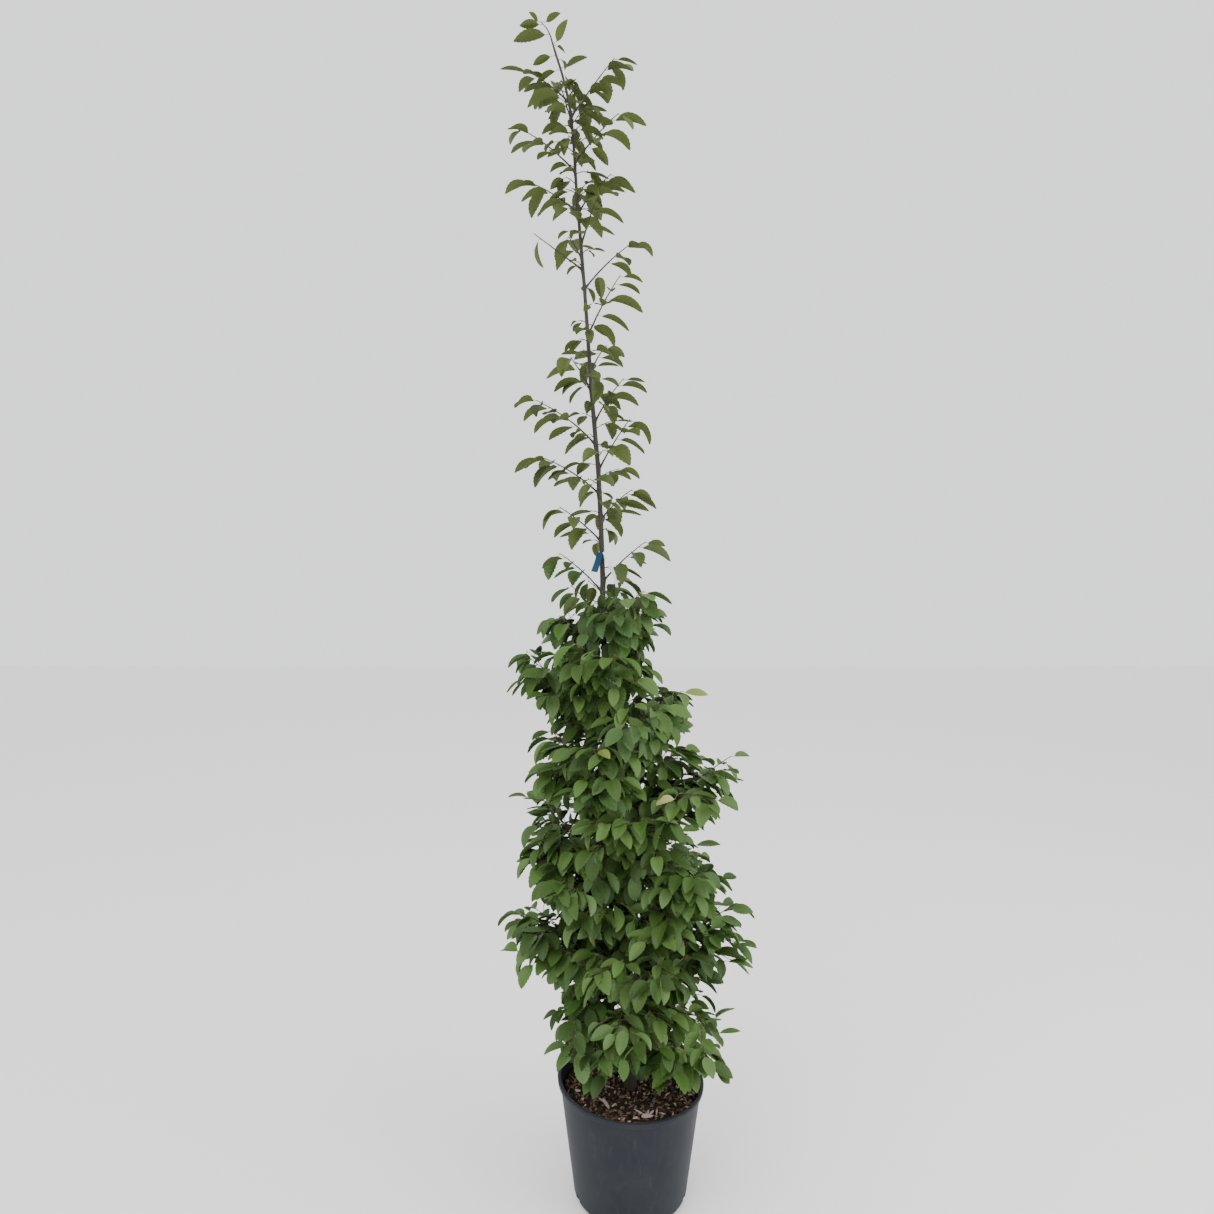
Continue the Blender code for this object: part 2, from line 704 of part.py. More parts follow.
def label_end(number, heading, length, width, root, pieces):
    """One loose end of the label: a thin strip that hangs outwards from a point on its band."""
    mesh = bpy.data.meshes.new(f"label_end_{number}")
    shape = bmesh.new()
    size = Matrix.Diagonal((LABEL_END_THICKNESS, width, length, 1))
    hang = Matrix.Rotation(radians(-LABEL_END_TILT), 4, "Y") @ Matrix.Translation((0, 0, -length / 2))
    turn = Matrix.Translation(root) @ Matrix.Rotation(radians(heading), 4, "Z")
    bmesh.ops.create_cube(shape, size=1, matrix=turn @ hang @ size)
    shape.to_mesh(mesh)
    shape.free()
    mesh_object(mesh.name, mesh, pieces)


def make_label(parts):
    """A plain looped strip: a band round the trunk and two loose ends that hang from its front."""
    centre = trunk_centre(LABEL_HEIGHT)
    inner = trunk_radius(LABEL_HEIGHT) + LABEL_EASE
    outer = inner + LABEL_THICKNESS
    low, high, _ = trunk_between(LABEL_HEIGHT)
    lean = (high[0] - low[0]).to_track_quat("Z", "Y").to_matrix().to_4x4()
    foot = Matrix.Translation((0, 0, -LABEL_LOOP_WIDTH / 2))
    mesh = bpy.data.meshes.new("label")
    shape = bmesh.new()
    for radius in (inner, outer):
        bmesh.ops.create_circle(shape, segments=LABEL_STEPS, radius=radius, matrix=foot)
    bmesh.ops.bridge_loops(shape, edges=list(shape.edges))
    up = bmesh.ops.extrude_face_region(shape, geom=list(shape.faces))
    raised = [item for item in up["geom"] if isinstance(item, bmesh.types.BMVert)]
    bmesh.ops.translate(shape, verts=raised, vec=(0, 0, LABEL_LOOP_WIDTH))
    bmesh.ops.recalc_face_normals(shape, faces=shape.faces)
    bmesh.ops.transform(shape, matrix=Matrix.Translation(centre) @ lean, verts=shape.verts)
    shape.to_mesh(mesh)
    shape.free()
    label = mesh_object("label", mesh, parts)
    ends = new_collection("label_ends", True)
    for number, (heading, length, width) in enumerate(LABEL_ENDS):
        root = centre + direction(heading, 0) * (outer - LABEL_END_DEPTH) + Vector((0, 0, LABEL_END_RISE))
        label_end(number, heading, length, width, root, ends)
    fuse([(label, ends)])
    label.data.materials.append(finish("label_film", LABEL_BLUE, 0.45))


def whole(mesh):
    """Whether every edge of a mesh lies between two faces."""
    shape = bmesh.new()
    shape.from_mesh(mesh)
    closed = bool(shape.faces) and all(edge.is_manifold for edge in shape.edges)
    shape.free()
    return closed


def keep_largest(mesh):
    """Fills sealed hollows and drops loose scraps: only the largest closed shell stays."""
    shape = bmesh.new()
    shape.from_mesh(mesh)
    unseen = set(shape.faces)
    shells = []
    while unseen:
        shell = {unseen.pop()}
        edge_of_shell = list(shell)
        while edge_of_shell:
            face = edge_of_shell.pop()
            near = {other for edge in face.edges for other in edge.link_faces} & unseen
            unseen -= near
            shell |= near
            edge_of_shell += near
        shells.append(shell)
    largest = max(shells, key=lambda shell: sum(face.calc_area() for face in shell))
    spare = [face for shell in shells if shell is not largest for face in shell]
    bmesh.ops.delete(shape, geom=spare, context="FACES")
    bmesh.ops.triangulate(shape, faces=shape.faces)
    shape.to_mesh(mesh)
    shape.free()


def fuse(pairs, solver="EXACT"):
    """Joins each object with its collection's objects by one Boolean union, and removes those.

    Pairs that the exact solver leaves open are joined once more by the manifold solver.
    """
    for obj, pieces in pairs:
        join = obj.modifiers.new("Join", "BOOLEAN")
        join.operation = "UNION"
        join.operand_type = "COLLECTION"
        join.collection = pieces
        join.solver = solver
    bpy.context.view_layer.update()
    graph = bpy.context.evaluated_depsgraph_get()
    meshes = [bpy.data.meshes.new_from_object(obj.evaluated_get(graph)) for obj, _ in pairs]
    again = []
    for (obj, pieces), mesh in zip(pairs, meshes):
        obj.modifiers.clear()
        if not whole(mesh) and solver == "EXACT":
            bpy.data.meshes.remove(mesh)
            again.append((obj, pieces))
            continue
        keep_largest(mesh)
        mesh.name = obj.name
        obj.data = mesh
        for piece in list(pieces.objects):
            bpy.data.objects.remove(piece)
        bpy.data.collections.remove(pieces)
    if again:
        fuse(again, "MANIFOLD")


def tapered(foot, tip, count):
    """Radii that go evenly from a foot to a tip."""
    return [foot + (tip - foot) * k / (count - 1) for k in range(count)]


def make_boughs(masses, limbs, bark, parts):
    """The first length of each larger limb, from the trunk to where it enters its mass."""
    with_bough = [mass for mass in masses if mass.bough]
    curves = []
    for number, mass in enumerate(with_bough, 1):
        line = limbs[mass.name][0]
        radii = tapered(BOUGH_FOOT_RADIUS, BOUGH_TIP_RADIUS, len(line))
        curves.append(tube(f"bough_{number:02d}", line, radii, parts, resolution=1))
    for mass, bough in zip(with_bough, as_mesh(curves, parts)):
        seat(bough, limbs[mass.name][0][0], mass.heading, bark)
        bough.data.materials.append(finish(bough.name + "_bark", BOUGH_GREY, 0.85))


def limb_sleeves(limbs):
    """Sleeves round the trunk, the boughs and the label's ends, which no twig or leaf may touch."""
    foot, tip = TRUNK_LINE[0][0], TRUNK_LINE[-1][0]
    count = int((tip - foot) / TRUNK_SLEEVE_STEP)
    heights = [foot + TRUNK_SLEEVE_STEP * k for k in range(count)]
    radii = [trunk_radius(height) + LIMB_MARGIN for height in heights]
    sleeves = [sleeve([trunk_centre(height) for height in heights], radii)]
    for bough, _ in limbs.values():
        if bough:
            sleeves.append(sleeve(bough, [BOUGH_FOOT_RADIUS + LIMB_MARGIN] * len(bough)))
    top = trunk_centre(LABEL_HEIGHT)
    for heading, length, width in LABEL_ENDS:
        hang = direction(heading, -90 + LABEL_END_TILT) * (length + LABEL_END_ROOM)
        sleeves.append(sleeve([top, top + hang], [width / 2] * 2))
    return sleeves


def grow_all(masses, limbs):
    """Each mass's twigs and leaves. All twigs come first, so that every space is fair."""
    solids = Solids(limb_sleeves(limbs))
    draws = {mass.name: Random(SEED * 1000 + number) for number, mass in enumerate(masses)}
    for name, (_, stem) in limbs.items():
        solids.add(name, sleeve(stem, [BOUGH_TIP_RADIUS + LIMB_MARGIN] * len(stem)))
    spaces = Spaces({name: [stem] for name, (_, stem) in limbs.items()}, 0.0)
    twigs = {
        mass.name: grow_twigs(mass, limbs[mass.name][1], spaces, solids, draws[mass.name])
        for mass in masses
    }
    spaces = Spaces({name: [line for line, _, _ in grown] for name, grown in twigs.items()}, LEAF_HANG)
    leaves = {
        mass.name: grow_leaves(mass, twigs[mass.name], spaces, solids, draws[mass.name])
        for mass in masses
    }
    return twigs, leaves


def three_sided(cutters):
    """The section of every twig: a triangle in a unit circle."""
    curve = bpy.data.curves.new("twig_section", "CURVE")
    outline = curve.splines.new("POLY")
    outline.points.add(2)
    for spot, turn in zip(outline.points, (0, 120, 240)):
        spot.co = (cos(radians(turn)), sin(radians(turn)), 0, 1)
    outline.use_cyclic_u = True
    section = mesh_object("twig_section", curve, cutters)
    section.hide_render = True
    return section


def make_twigs(twigs, parts, cutters):
    """A three-sided tube for each twig, by name."""
    section = three_sided(cutters)
    curves = []
    for name, grown in twigs.items():
        for number, (line, foot, tip) in enumerate(grown):
            radii = tapered(foot, tip, len(line))
            curves.append(tube(f"{name}_twig_{number}", line, radii, parts, section=section))
    tubes = {obj.name: obj for obj in as_mesh(curves, parts)}
    bpy.data.objects.remove(section)
    return tubes


def leaf_tint(height):
    """The colour of a mass that leaves the trunk at this height."""
    low, high = LOW_MASSES[0][0], SHOOTS[-1][0]
    mix = min(max((height - low) / (high - low), 0), 1)
    return [from_low + (to_high - from_low) * mix for from_low, to_high in zip(LOW_GREEN, HIGH_OLIVE)]


def make_foliage(bark, parts, cutters):
    """The boughs, and one fused solid for each mass."""
    masses = all_masses()
    limbs = {mass.name: limb_of(mass) for mass in masses}
    make_boughs(masses, limbs, bark, parts)
    twigs, leaves = grow_all(masses, limbs)
    tubes = make_twigs(twigs, parts, cutters)
    pairs = []
    for mass in masses:
        stem = tubes[f"{mass.name}_twig_0"]
        stem.name = mass.name
        if not mass.bough and mass.name != "leader_tip":
            seat(stem, limbs[mass.name][1][0], mass.heading, bark)
        pieces = new_collection(mass.name + "_pieces", True)
        for number in range(1, len(twigs[mass.name])):
            twig = tubes[f"{mass.name}_twig_{number}"]
            parts.objects.unlink(twig)
            pieces.objects.link(twig)
        for number, corners in enumerate(leaves[mass.name]):
            mesh = bpy.data.meshes.new(f"{mass.name}_leaf_{number}")
            mesh.from_pydata(corners, [], LEAF_FACES)
            mesh_object(mesh.name, mesh, pieces)
        pairs.append((stem, pieces))
    fuse(pairs)
    for mass, (obj, _) in zip(masses, pairs):
        obj.data.materials.append(finish(mass.name + "_leaf", leaf_tint(mass.height), 0.6))


def main():
    clear_scene()
    parts = new_collection("potted_hornbeam", True)
    cutters = new_collection("cutters", False)
    make_pot(parts, cutters)
    make_soil(parts)
    bark = make_trunk(parts)
    make_label(parts)
    make_foliage(bark, parts, cutters)
    for obj in parts.objects:
        if obj.name in ("pot", "soil", "trunk", "label") or obj.name.startswith("bough"):
            shade_round(obj)


main()
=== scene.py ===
"""Looks of a potted European hornbeam, built round its solids.

The file is laid out as a Blender add-on and is run as a script. Each operator makes one piece, or one
group of like pieces, from the sizes and colours in its settings. Limbs and foliage grow by the rule
that the solids grow by, from the same heights and headings, and are carried on to finer twigs.

Units are metres and degrees, +Z is up, and the origin is the centre of the pot's flat underside.
Headings are measured from +X towards +Y, so 0 is to the right, 90 is away and 270 is to the front.
"""

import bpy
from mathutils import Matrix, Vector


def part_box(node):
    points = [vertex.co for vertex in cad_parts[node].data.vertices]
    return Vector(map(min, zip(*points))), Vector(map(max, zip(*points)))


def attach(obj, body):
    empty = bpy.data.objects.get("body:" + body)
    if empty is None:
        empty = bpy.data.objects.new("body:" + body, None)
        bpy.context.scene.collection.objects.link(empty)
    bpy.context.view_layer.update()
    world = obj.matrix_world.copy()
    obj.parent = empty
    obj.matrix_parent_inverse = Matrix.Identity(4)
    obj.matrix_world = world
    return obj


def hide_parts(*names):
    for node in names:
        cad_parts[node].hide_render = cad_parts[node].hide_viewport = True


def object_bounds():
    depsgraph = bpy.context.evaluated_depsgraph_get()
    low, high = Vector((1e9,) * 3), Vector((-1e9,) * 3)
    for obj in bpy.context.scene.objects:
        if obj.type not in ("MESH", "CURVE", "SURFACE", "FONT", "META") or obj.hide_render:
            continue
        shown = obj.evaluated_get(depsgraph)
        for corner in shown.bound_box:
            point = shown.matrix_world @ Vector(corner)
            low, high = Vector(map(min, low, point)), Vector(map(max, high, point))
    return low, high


bl_info = {
    "name": "Potted hornbeam",
    "version": (1, 0, 0),
    "blender": (4, 5, 0),
    "location": "3D View > Sidebar > Hornbeam",
    "description": "Dresses the solids of a potted hornbeam with its pot, mulch, bark, twigs and leaves",
    "category": "Object",
}

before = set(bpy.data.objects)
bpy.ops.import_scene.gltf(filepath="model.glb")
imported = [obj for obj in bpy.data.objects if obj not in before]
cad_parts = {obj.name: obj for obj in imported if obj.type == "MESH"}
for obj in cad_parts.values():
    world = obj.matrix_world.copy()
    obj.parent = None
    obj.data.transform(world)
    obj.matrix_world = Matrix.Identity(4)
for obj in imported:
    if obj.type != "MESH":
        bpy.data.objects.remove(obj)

from collections import namedtuple
from functools import lru_cache, partial
from math import atan2, cos, degrees, exp, hypot, pi, radians, sin, tan
from random import Random

import bmesh
import bpy
import numpy as np
from bpy.props import (
    FloatProperty,
    FloatVectorProperty,
    IntProperty,
    PointerProperty,
    StringProperty,
)
from mathutils import Matrix, Vector, noise

CAD_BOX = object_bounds()
BODY = "root"

# Trunk: the height, x and y of its centre line, as in the solids
SOIL_TOP = 0.262
TRUNK_LINE = (
    (0.2623, 0.001, 0.000),
    (0.290, 0.001, 0.000),
    (0.400, -0.004, 0.004),
    (0.570, -0.020, 0.010),
    (0.750, -0.030, 0.006),
    (1.070, -0.052, -0.006),
    (1.280, -0.062, -0.002),
    (1.540, -0.068, 0.008),
    (1.735, -0.077, 0.012),
    (1.890, -0.090, 0.006),
    (2.110, -0.105, -0.004),
    (2.320, -0.122, -0.002),
    (2.500, -0.135, 0.006),
    (2.573, -0.150, 0.008),
    (2.640, -0.171, 0.008),
)
TRUNK_FOOT_RADIUS = 0.0105
TRUNK_TIP_RADIUS = 0.0026
TRUNK_TAPER = 1.1
FLARE = 0.0055
FLARE_HEIGHT = 0.028

# Limbs, as in the solids. Each row is a height on the trunk, a heading, the length of the bough, the
# length of the stem that goes on from it, how steeply it rises, and how much it bends on the way.
LOW_MASSES = (
    (0.400, 322, 0.060, 0.165, 20, -40),
    (0.425, 226, 0.050, 0.130, 22, -42),
    (0.455, 85, 0.060, 0.160, 36, -26),
    (0.500, 10, 0.060, 0.215, 46, -18),
    (0.525, 186, 0.060, 0.235, 46, -16),
    (0.510, 268, 0.050, 0.190, 52, -18),
    (0.550, 130, 0.000, 0.260, 54, -14),
    (0.590, 40, 0.000, 0.260, 56, -12),
    (0.620, 325, 0.000, 0.270, 54, -12),
    (0.660, 215, 0.000, 0.260, 56, -12),
    (0.710, 85, 0.000, 0.250, 60, -12),
    (0.740, 170, 0.000, 0.260, 56, -10),
    (0.790, 275, 0.000, 0.230, 62, -12),
    (0.870, 357, 0.060, 0.255, 43, -8),
    (0.880, 28, 0.000, 0.230, 60, -10),
    (0.930, 230, 0.000, 0.230, 60, -8),
    (0.970, 120, 0.000, 0.230, 60, -10),
    (1.030, 305, 0.000, 0.210, 62, -10),
    (1.095, 12, 0.000, 0.185, 48, -8),
    (1.145, 182, 0.000, 0.185, 50, -12),
    (1.180, 258, 0.000, 0.190, 62, -8),
    (1.225, 70, 0.000, 0.200, 62, -8),
    (1.285, 160, 0.000, 0.145, 56, -10),
    (1.325, 320, 0.000, 0.165, 60, -8),
)
SHOOTS = (
    (1.395, 215, 0.110, 52, -12),
    (1.425, 60, 0.120, 50, -14),
    (1.465, 152, 0.130, 44, -14),
    (1.490, 336, 0.125, 48, -14),
    (1.580, 205, 0.115, 44, -14),
    (1.630, 35, 0.100, 46, -16),
    (1.688, 165, 0.155, 42, -22),
    (1.745, 348, 0.120, 62, -10),
    (1.798, 196, 0.155, 46, -24),
    (1.850, 20, 0.110, 62, -14),
    (1.915, 236, 0.090, 46, -16),
    (1.955, 66, 0.105, 48, -14),
    (2.040, 332, 0.130, 62, -12),
    (2.137, 14, 0.145, 52, -16),
    (2.175, 188, 0.120, 34, 0),
    (2.200, 112, 0.105, 48, -16),
    (2.230, 305, 0.100, 58, -8),
    (2.297, 160, 0.125, 44, -18),
    (2.300, 38, 0.130, 56, -16),
    (2.385, 195, 0.130, 44, -22),
    (2.405, 335, 0.125, 46, -14),
    (2.480, 250, 0.080, 50, -20),
    (2.505, 18, 0.160, 56, -4),
    (2.535, 170, 0.100, 46, -16),
)
BARE_SHOOT = 2.175
LEADER = (150, 0.058, 80, -38)  # heading, stem, rise, bend; the stem ends under its topmost leaves
LEADER_STRAIGHT = 0.012
Limb = namedtuple("Limb", "height heading bough stem rise bend")

BOUGH_FOOT_RADIUS = 0.0042
BOUGH_TIP_RADIUS = 0.0028
STEM_TIP_RADIUS = 0.0009
SHOOT_FOOT_RADIUS = 0.0022
TWIG_FOOT_RADIUS = 0.0013
TWIG_TIP_RADIUS = 0.0007
COLLAR_LENGTH = 0.015
COLLAR_DEPTH = 0.010
COLLAR_FLARE = 1.75
COLLAR_SLIM = 0.92
COLLAR_RINGS = 8

# Limbs whose stem goes on as a finer twig, by height, to where their solid's larger leaves reach
REACH_ON = {0.500: 0.050, 0.590: 0.030, 0.620: 0.030, 0.870: 0.015, 1.145: 0.045}

# Spurs on the trunk's own nodes, each turned on from the last. Each row is the height where a stretch
# starts, the spacing of its spurs, their least and greatest length, and the spacing and size of their leaves.
SPUR_STRETCHES = (
    (0.345, 0.0085, 0.050, 0.150, 0.021, 1.0),
    (0.415, 0.0052, 0.085, 0.180, 0.019, 1.0),
    (0.450, 0.0040, 0.130, 0.210, 0.019, 1.0),
    (0.515, 0.0060, 0.070, 0.170, 0.020, 1.0),
    (0.600, 0.011, 0.030, 0.120, 0.021, 1.0),
    (1.360, 0.014, 0.020, 0.060, 0.017, 1.0),
    (1.460, 0.060, 0.006, 0.016, 0.011, 0.8),
    (1.600, 0.021, 0.010, 0.044, 0.013, 0.95),
    (2.060, 0.038, 0.006, 0.018, 0.011, 0.6),
    (2.270, 0.0100, 0.008, 0.042, 0.014, 0.88),
)
SPUR_TOP = 2.575
SPUR_TURN = 137.5
LOW_SPURS = 0.52  # the spurs under this height spread level over the pot
LOW_LEAN = 0.20  # the share by which the low spurs are longer to the right and shorter to the left
LONG_SPUR = 0.09  # spurs over this length branch again

# Leaves at the leader's tip, which still point upwards: share of the leader, heading, droop, size, roll
TIP_LEAVES = (
    (0.52, 184, 5, 1.10, 13),
    (0.21, 350, -72, 0.72, -32),
    (0.90, 186, 4, 0.66, 32),
    (1.00, 158, -52, 0.46, 40),
    (1.00, 12, -40, 0.58, -30),
    (0.17, 330, 30, 0.46, -24),
)
# The same on the trunk's top, with the height first
TOP_LEAVES = (
    (2.626, 186, 20, 0.68, 34),
    (2.602, 8, -42, 0.82, -14),
    (2.618, 320, 50, 0.40, 0),
    (2.597, 188, 20, 0.80, 10),
)

# Leaves that differ: where each is, and how a withered one hangs
YOUNG_PLACES = ((-0.078, -0.146, 1.129), (0.112, -0.001, 1.227), (-0.075, -0.080, 0.700))
WITHERED_PLACE = (0.097, -0.136, 1.028)
WITHERED_HEADING = 172.0
WITHERED_DROOP = 4.0
WITHERED_ROLL = -26.0
WITHERED_SAG = 0.012
WITHERED_LENGTH = 0.046

CAMERA_PLACE = (-0.0567, -2.0, 1.61)
CAMERA_PITCH = 5.3
CAMERA_LENS = 26.0
CAMERA_SENSOR = 36.0

MILLIMETRE = 0.001
SEED = 11


def linear(code):
    """The linear value of an sRGB hex colour."""
    values = [int(code[place : place + 2], 16) / 255 for place in (1, 3, 5)]
    return tuple(((v + 0.055) / 1.055) ** 2.4 if v > 0.04045 else v / 12.92 for v in values)


def length_setting(name, description, default):
    return FloatProperty(name=name, description=description, default=default, unit="LENGTH", precision=4)


def angle_setting(name, description, default):
    return FloatProperty(name=name, description=description, default=radians(default), subtype="ANGLE")


def share_setting(name, description, default):
    return FloatProperty(name=name, description=description, default=default, subtype="FACTOR", min=0, max=1)


def count_setting(name, description, default):
    return IntProperty(name=name, description=description, default=default, min=0)


def colour_setting(name, description, code):
    return FloatVectorProperty(
        name=name, description=description, default=linear(code), subtype="COLOR", size=3, min=0, max=1
    )


def tones_setting(name, description, codes):
    return StringProperty(name=name, description=description, default=" ".join(codes))


class PotSettings(bpy.types.PropertyGroup):
    height: length_setting("Height", "From the underside to the top of the lip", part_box("pot")[1].z)
    rim_radius: length_setting("Rim radius", "Outside of the rolled lip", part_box("pot")[1].x)
    lip_depth: length_setting("Lip depth", "Height of the rolled lip", 0.012)
    lip_overhang: length_setting("Lip overhang", "How far the lip stands out from the wall", 0.0065)
    wall: length_setting("Wall", "Thickness of the plastic", 0.0022)
    foot_radius: length_setting("Foot radius", "Outside of the wall at the foot", 0.1377)
    foot_rounding: length_setting("Foot rounding", "Radius of the corner at the foot", 0.021)
    warp: length_setting("Warp", "How far the lip is bent up at the left and down at the right", 0.008)
    dents: length_setting("Dents", "Depth of the shallow dents of a soft wall", 0.0007)
    slots: count_setting("Slots", "Drain slots round the foot", 8)
    plastic: colour_setting("Plastic", "Slate grey of the moulded wall", "#26292F")
    dust: colour_setting("Dust", "Dried compost and splash marks on the wall", "#3B3C3F")


class SoilSettings(bpy.types.PropertyGroup):
    edge_top: length_setting("Edge", "Height of the compost where it meets the wall", 0.256)
    crumbs: count_setting("Crumbs", "Small dark pieces of bark", 1500)
    chips: count_setting("Chips", "Larger flakes of bark", 900)
    slivers: count_setting("Slivers", "Pale split wood", 34)
    mix: colour_setting("Compost", "Damp fine compost under the bark", "#14110E")
    dark: colour_setting("Dark bark", "Damp outer bark", "#261F19")
    brown: colour_setting("Brown bark", "Dry flake of bark", "#6B5B48")
    rust: colour_setting("Rust bark", "Reddish inner bark", "#5C4234")
    straw: colour_setting("Straw-coloured bark", "Dry fibre of bark", "#94826A")
    pale: colour_setting("Pale wood", "Split sapwood", "#A89490")


class BarkSettings(bpy.types.PropertyGroup):
    ring_step: length_setting("Ring step", "Distance between the rings of the trunk's mesh", 0.005)
    relief: share_setting("Relief", "Depth of the fluting, as a share of the radius", 0.075)
    swelling: share_setting("Swelling", "How much the trunk swells where a limb leaves it", 0.30)
    bark: colour_setting("Bark", "Smooth grey-brown bark of a young stem", "#37342D")
    pores: colour_setting("Pores", "Pale corky pores across the bark", "#676052")
    shoot: colour_setting("Shoot", "Brown skin of this year's twigs", "#3A3227")
    bud: colour_setting("Bud", "Chestnut scales of the slim buds", "#573A28")


class LeafSettings(bpy.types.PropertyGroup):
    low_length: length_setting("Low leaf", "Length of a blade in the dense cone", 0.066)
    high_length: length_setting("High leaf", "Length of a blade on the leader", 0.066)
    width: share_setting("Width", "Width of a blade as a share of its length, in the dense cone", 0.52)
    high_width: share_setting("High width", "The same on the leader", 0.47)
    stalk: length_setting("Stalk", "Length of a leaf's stalk", 0.010)
    spacing: length_setting("Spacing", "Distance from leaf to leaf along a low twig", 0.019)
    high_spacing: length_setting("High spacing", "Distance from leaf to leaf along a shoot", 0.018)
    twig_length: length_setting("Twig", "Length of the lowest side twig of a mass", 0.135)
    splay: angle_setting("Splay", "How far a leaf turns out from its twig", 52)
    low_droop: angle_setting("Low droop", "How far leaves hang near the trunk, in the dense cone", 50)
    edge_droop: angle_setting("Edge droop", "How far leaves hang at the dense cone's edge", 14)
    high_droop: angle_setting("High droop", "How far leaves hang on the leader", 14)
    dense_top: length_setting("Dense top", "Height where the dense cone ends", 1.46)
    low_tones: tones_setting(
        "Low tones",
        "Upper sides in the dense cone, dealt out by spray",
        ("#3B5520", "#456429", "#354C1F", "#4F6B32", "#415C2E", "#56713D"),
    )
    high_tones: tones_setting(
        "High tones",
        "Upper sides on the leader, dealt out by spray",
        ("#3D481C", "#475422", "#343E17", "#505C2C", "#414E21"),
    )
    lime: colour_setting("Lime", "Blade of a young leaf", "#7C8C42")
    tan: colour_setting("Tan", "Blade of a dead leaf", "#AEB074")
    underside: colour_setting("Underside", "Paler, duller lower side of a blade", "#506A38")
    high_underside: colour_setting("High underside", "The same on the sunlit leader", "#545F30")
    stalk_colour: colour_setting("Stalk colour", "Yellow-green stalks", "#666B3C")


class LabelSettings(bpy.types.PropertyGroup):
    height: length_setting("Height", "Where the loop goes round the trunk", 1.543)
    width: length_setting("Width", "Width of the film", 0.016)
    film: length_setting("Film", "Thickness of the film", 0.0004)
    blue: colour_setting("Blue", "Blue side of the film", "#083B57")
    white: colour_setting("White", "White side of the film", "#EEF1F4")


class StageSettings(bpy.types.PropertyGroup):
    floor_size: length_setting("Floor", "Side of the pale floor", 16.0)
    key: FloatProperty(name="Key", description="Light from above and the left", default=105, unit="POWER")
    fill: FloatProperty(name="Fill", description="Light from the right", default=60, unit="POWER")
    sky: FloatProperty(name="Sky", description="Strength of the pale surround", default=1.5, min=0)
    floor: colour_setting("Floor colour", "Pale seamless floor", "#F6F6F4")
    surround: colour_setting("Surround", "Near-white surround", "#FBFCFD")


def set_inputs(node, inputs):
    """Sets a node's sockets. A socket that is given another node is linked to its first output."""
    for name, value in inputs.items():
        if isinstance(value, bpy.types.Node):
            value = value.outputs[0]
        if isinstance(value, bpy.types.NodeSocket):
            node.id_data.links.new(value, node.inputs[name])
        else:
            node.inputs[name].default_value = value


def add_node(tree, kind, inputs, **settings):
    """Adds a shader node with its settings and its links."""
    node = tree.nodes.new("ShaderNode" + kind)
    for name, value in settings.items():
        setattr(node, name, value)
    set_inputs(node, inputs)
    return node


def new_material(name, colour, roughness, specular, ior=1.5):
    """A Principled material, with a function that adds its nodes, its shader and the place on the object."""
    material = bpy.data.materials.new(name)
    material.use_nodes = True
    add = partial(add_node, material.node_tree)
    shader = material.node_tree.nodes["Principled BSDF"]
    look = {"Base Color": (*colour, 1), "Roughness": roughness, "IOR": ior, "Specular IOR Level": specular}
    set_inputs(shader, look)
    return material, add, shader, add("TexCoord", {}).outputs["Object"]


def per_metre(size_mm):
    """A texture's scale, in repeats for each metre, from the real size of one repeat."""
    return 1 / (size_mm * MILLIMETRE)


def grained(name, colour, roughness, specular, size_mm, detail, strength, depth, fineness=0.5, ior=1.5):
    """A material in one plain colour, with a relief of grains of a real size."""
    material, add, shader, place = new_material(name, colour, roughness, specular, ior)
    pattern = {"Vector": place, "Scale": per_metre(size_mm), "Detail": detail, "Roughness": fineness}
    grain = add("TexNoise", pattern)
    bump = add("Bump", {"Height": grain, "Strength": strength, "Distance": depth})
    set_inputs(shader, {"Normal": bump})
    return material, add, shader, place


def moulded_polypropylene(pot):
    """Injection-moulded polypropylene: a satin slate grey skin with a faint haze, dust and rubbed marks."""
    material, add, shader, place = new_material("moulded_polypropylene", pot.plastic, 0.50, 0.09, 1.49)
    haze = add("TexNoise", {"Vector": place, "Scale": per_metre(85), "Detail": 4.0, "Roughness": 0.6})
    haze_share = add("MapRange", {"Value": haze, "From Min": 0.35, "From Max": 0.72, "To Max": 0.34})
    # Splashes of compost dry to a fine dust that lies in streaks
    streaks = add("Mapping", {"Vector": place, "Scale": (1.0, 1.0, 0.28)})
    dust = add("TexNoise", {"Vector": streaks, "Scale": per_metre(14), "Detail": 6.0, "Roughness": 0.72})
    dust_share = add("MapRange", {"Value": dust, "From Min": 0.54, "From Max": 0.78, "To Max": 0.60})
    both = add("Math", {0: haze_share, 1: dust_share})
    tints = {"Factor": both, 6: (*pot.plastic, 1), 7: (*pot.dust, 1)}
    colour = add("Mix", tints, data_type="RGBA")
    rough = add("MapRange", {"Value": both, "To Min": 0.42, "To Max": 0.68})
    # Moulded grain is 0.2 mm and is drawn at 0.8 mm, which still shows
    grain = add("TexNoise", {"Vector": place, "Scale": per_metre(0.8), "Detail": 2.0})
    scratches = add("Mapping", {"Vector": place, "Rotation": (0.3, 0.2, 0.5), "Scale": (1.0, 0.06, 1.0)})
    rubbed = add("TexNoise", {"Vector": scratches, "Scale": per_metre(2.4), "Detail": 3.0})
    fine = add("Bump", {"Height": grain, "Strength": 0.16, "Distance": 0.0004})
    bump = add("Bump", {"Height": rubbed, "Strength": 0.12, "Distance": 0.0005, "Normal": fine})
    set_inputs(shader, {"Base Color": colour.outputs[2], "Roughness": rough, "Normal": bump})
    return material


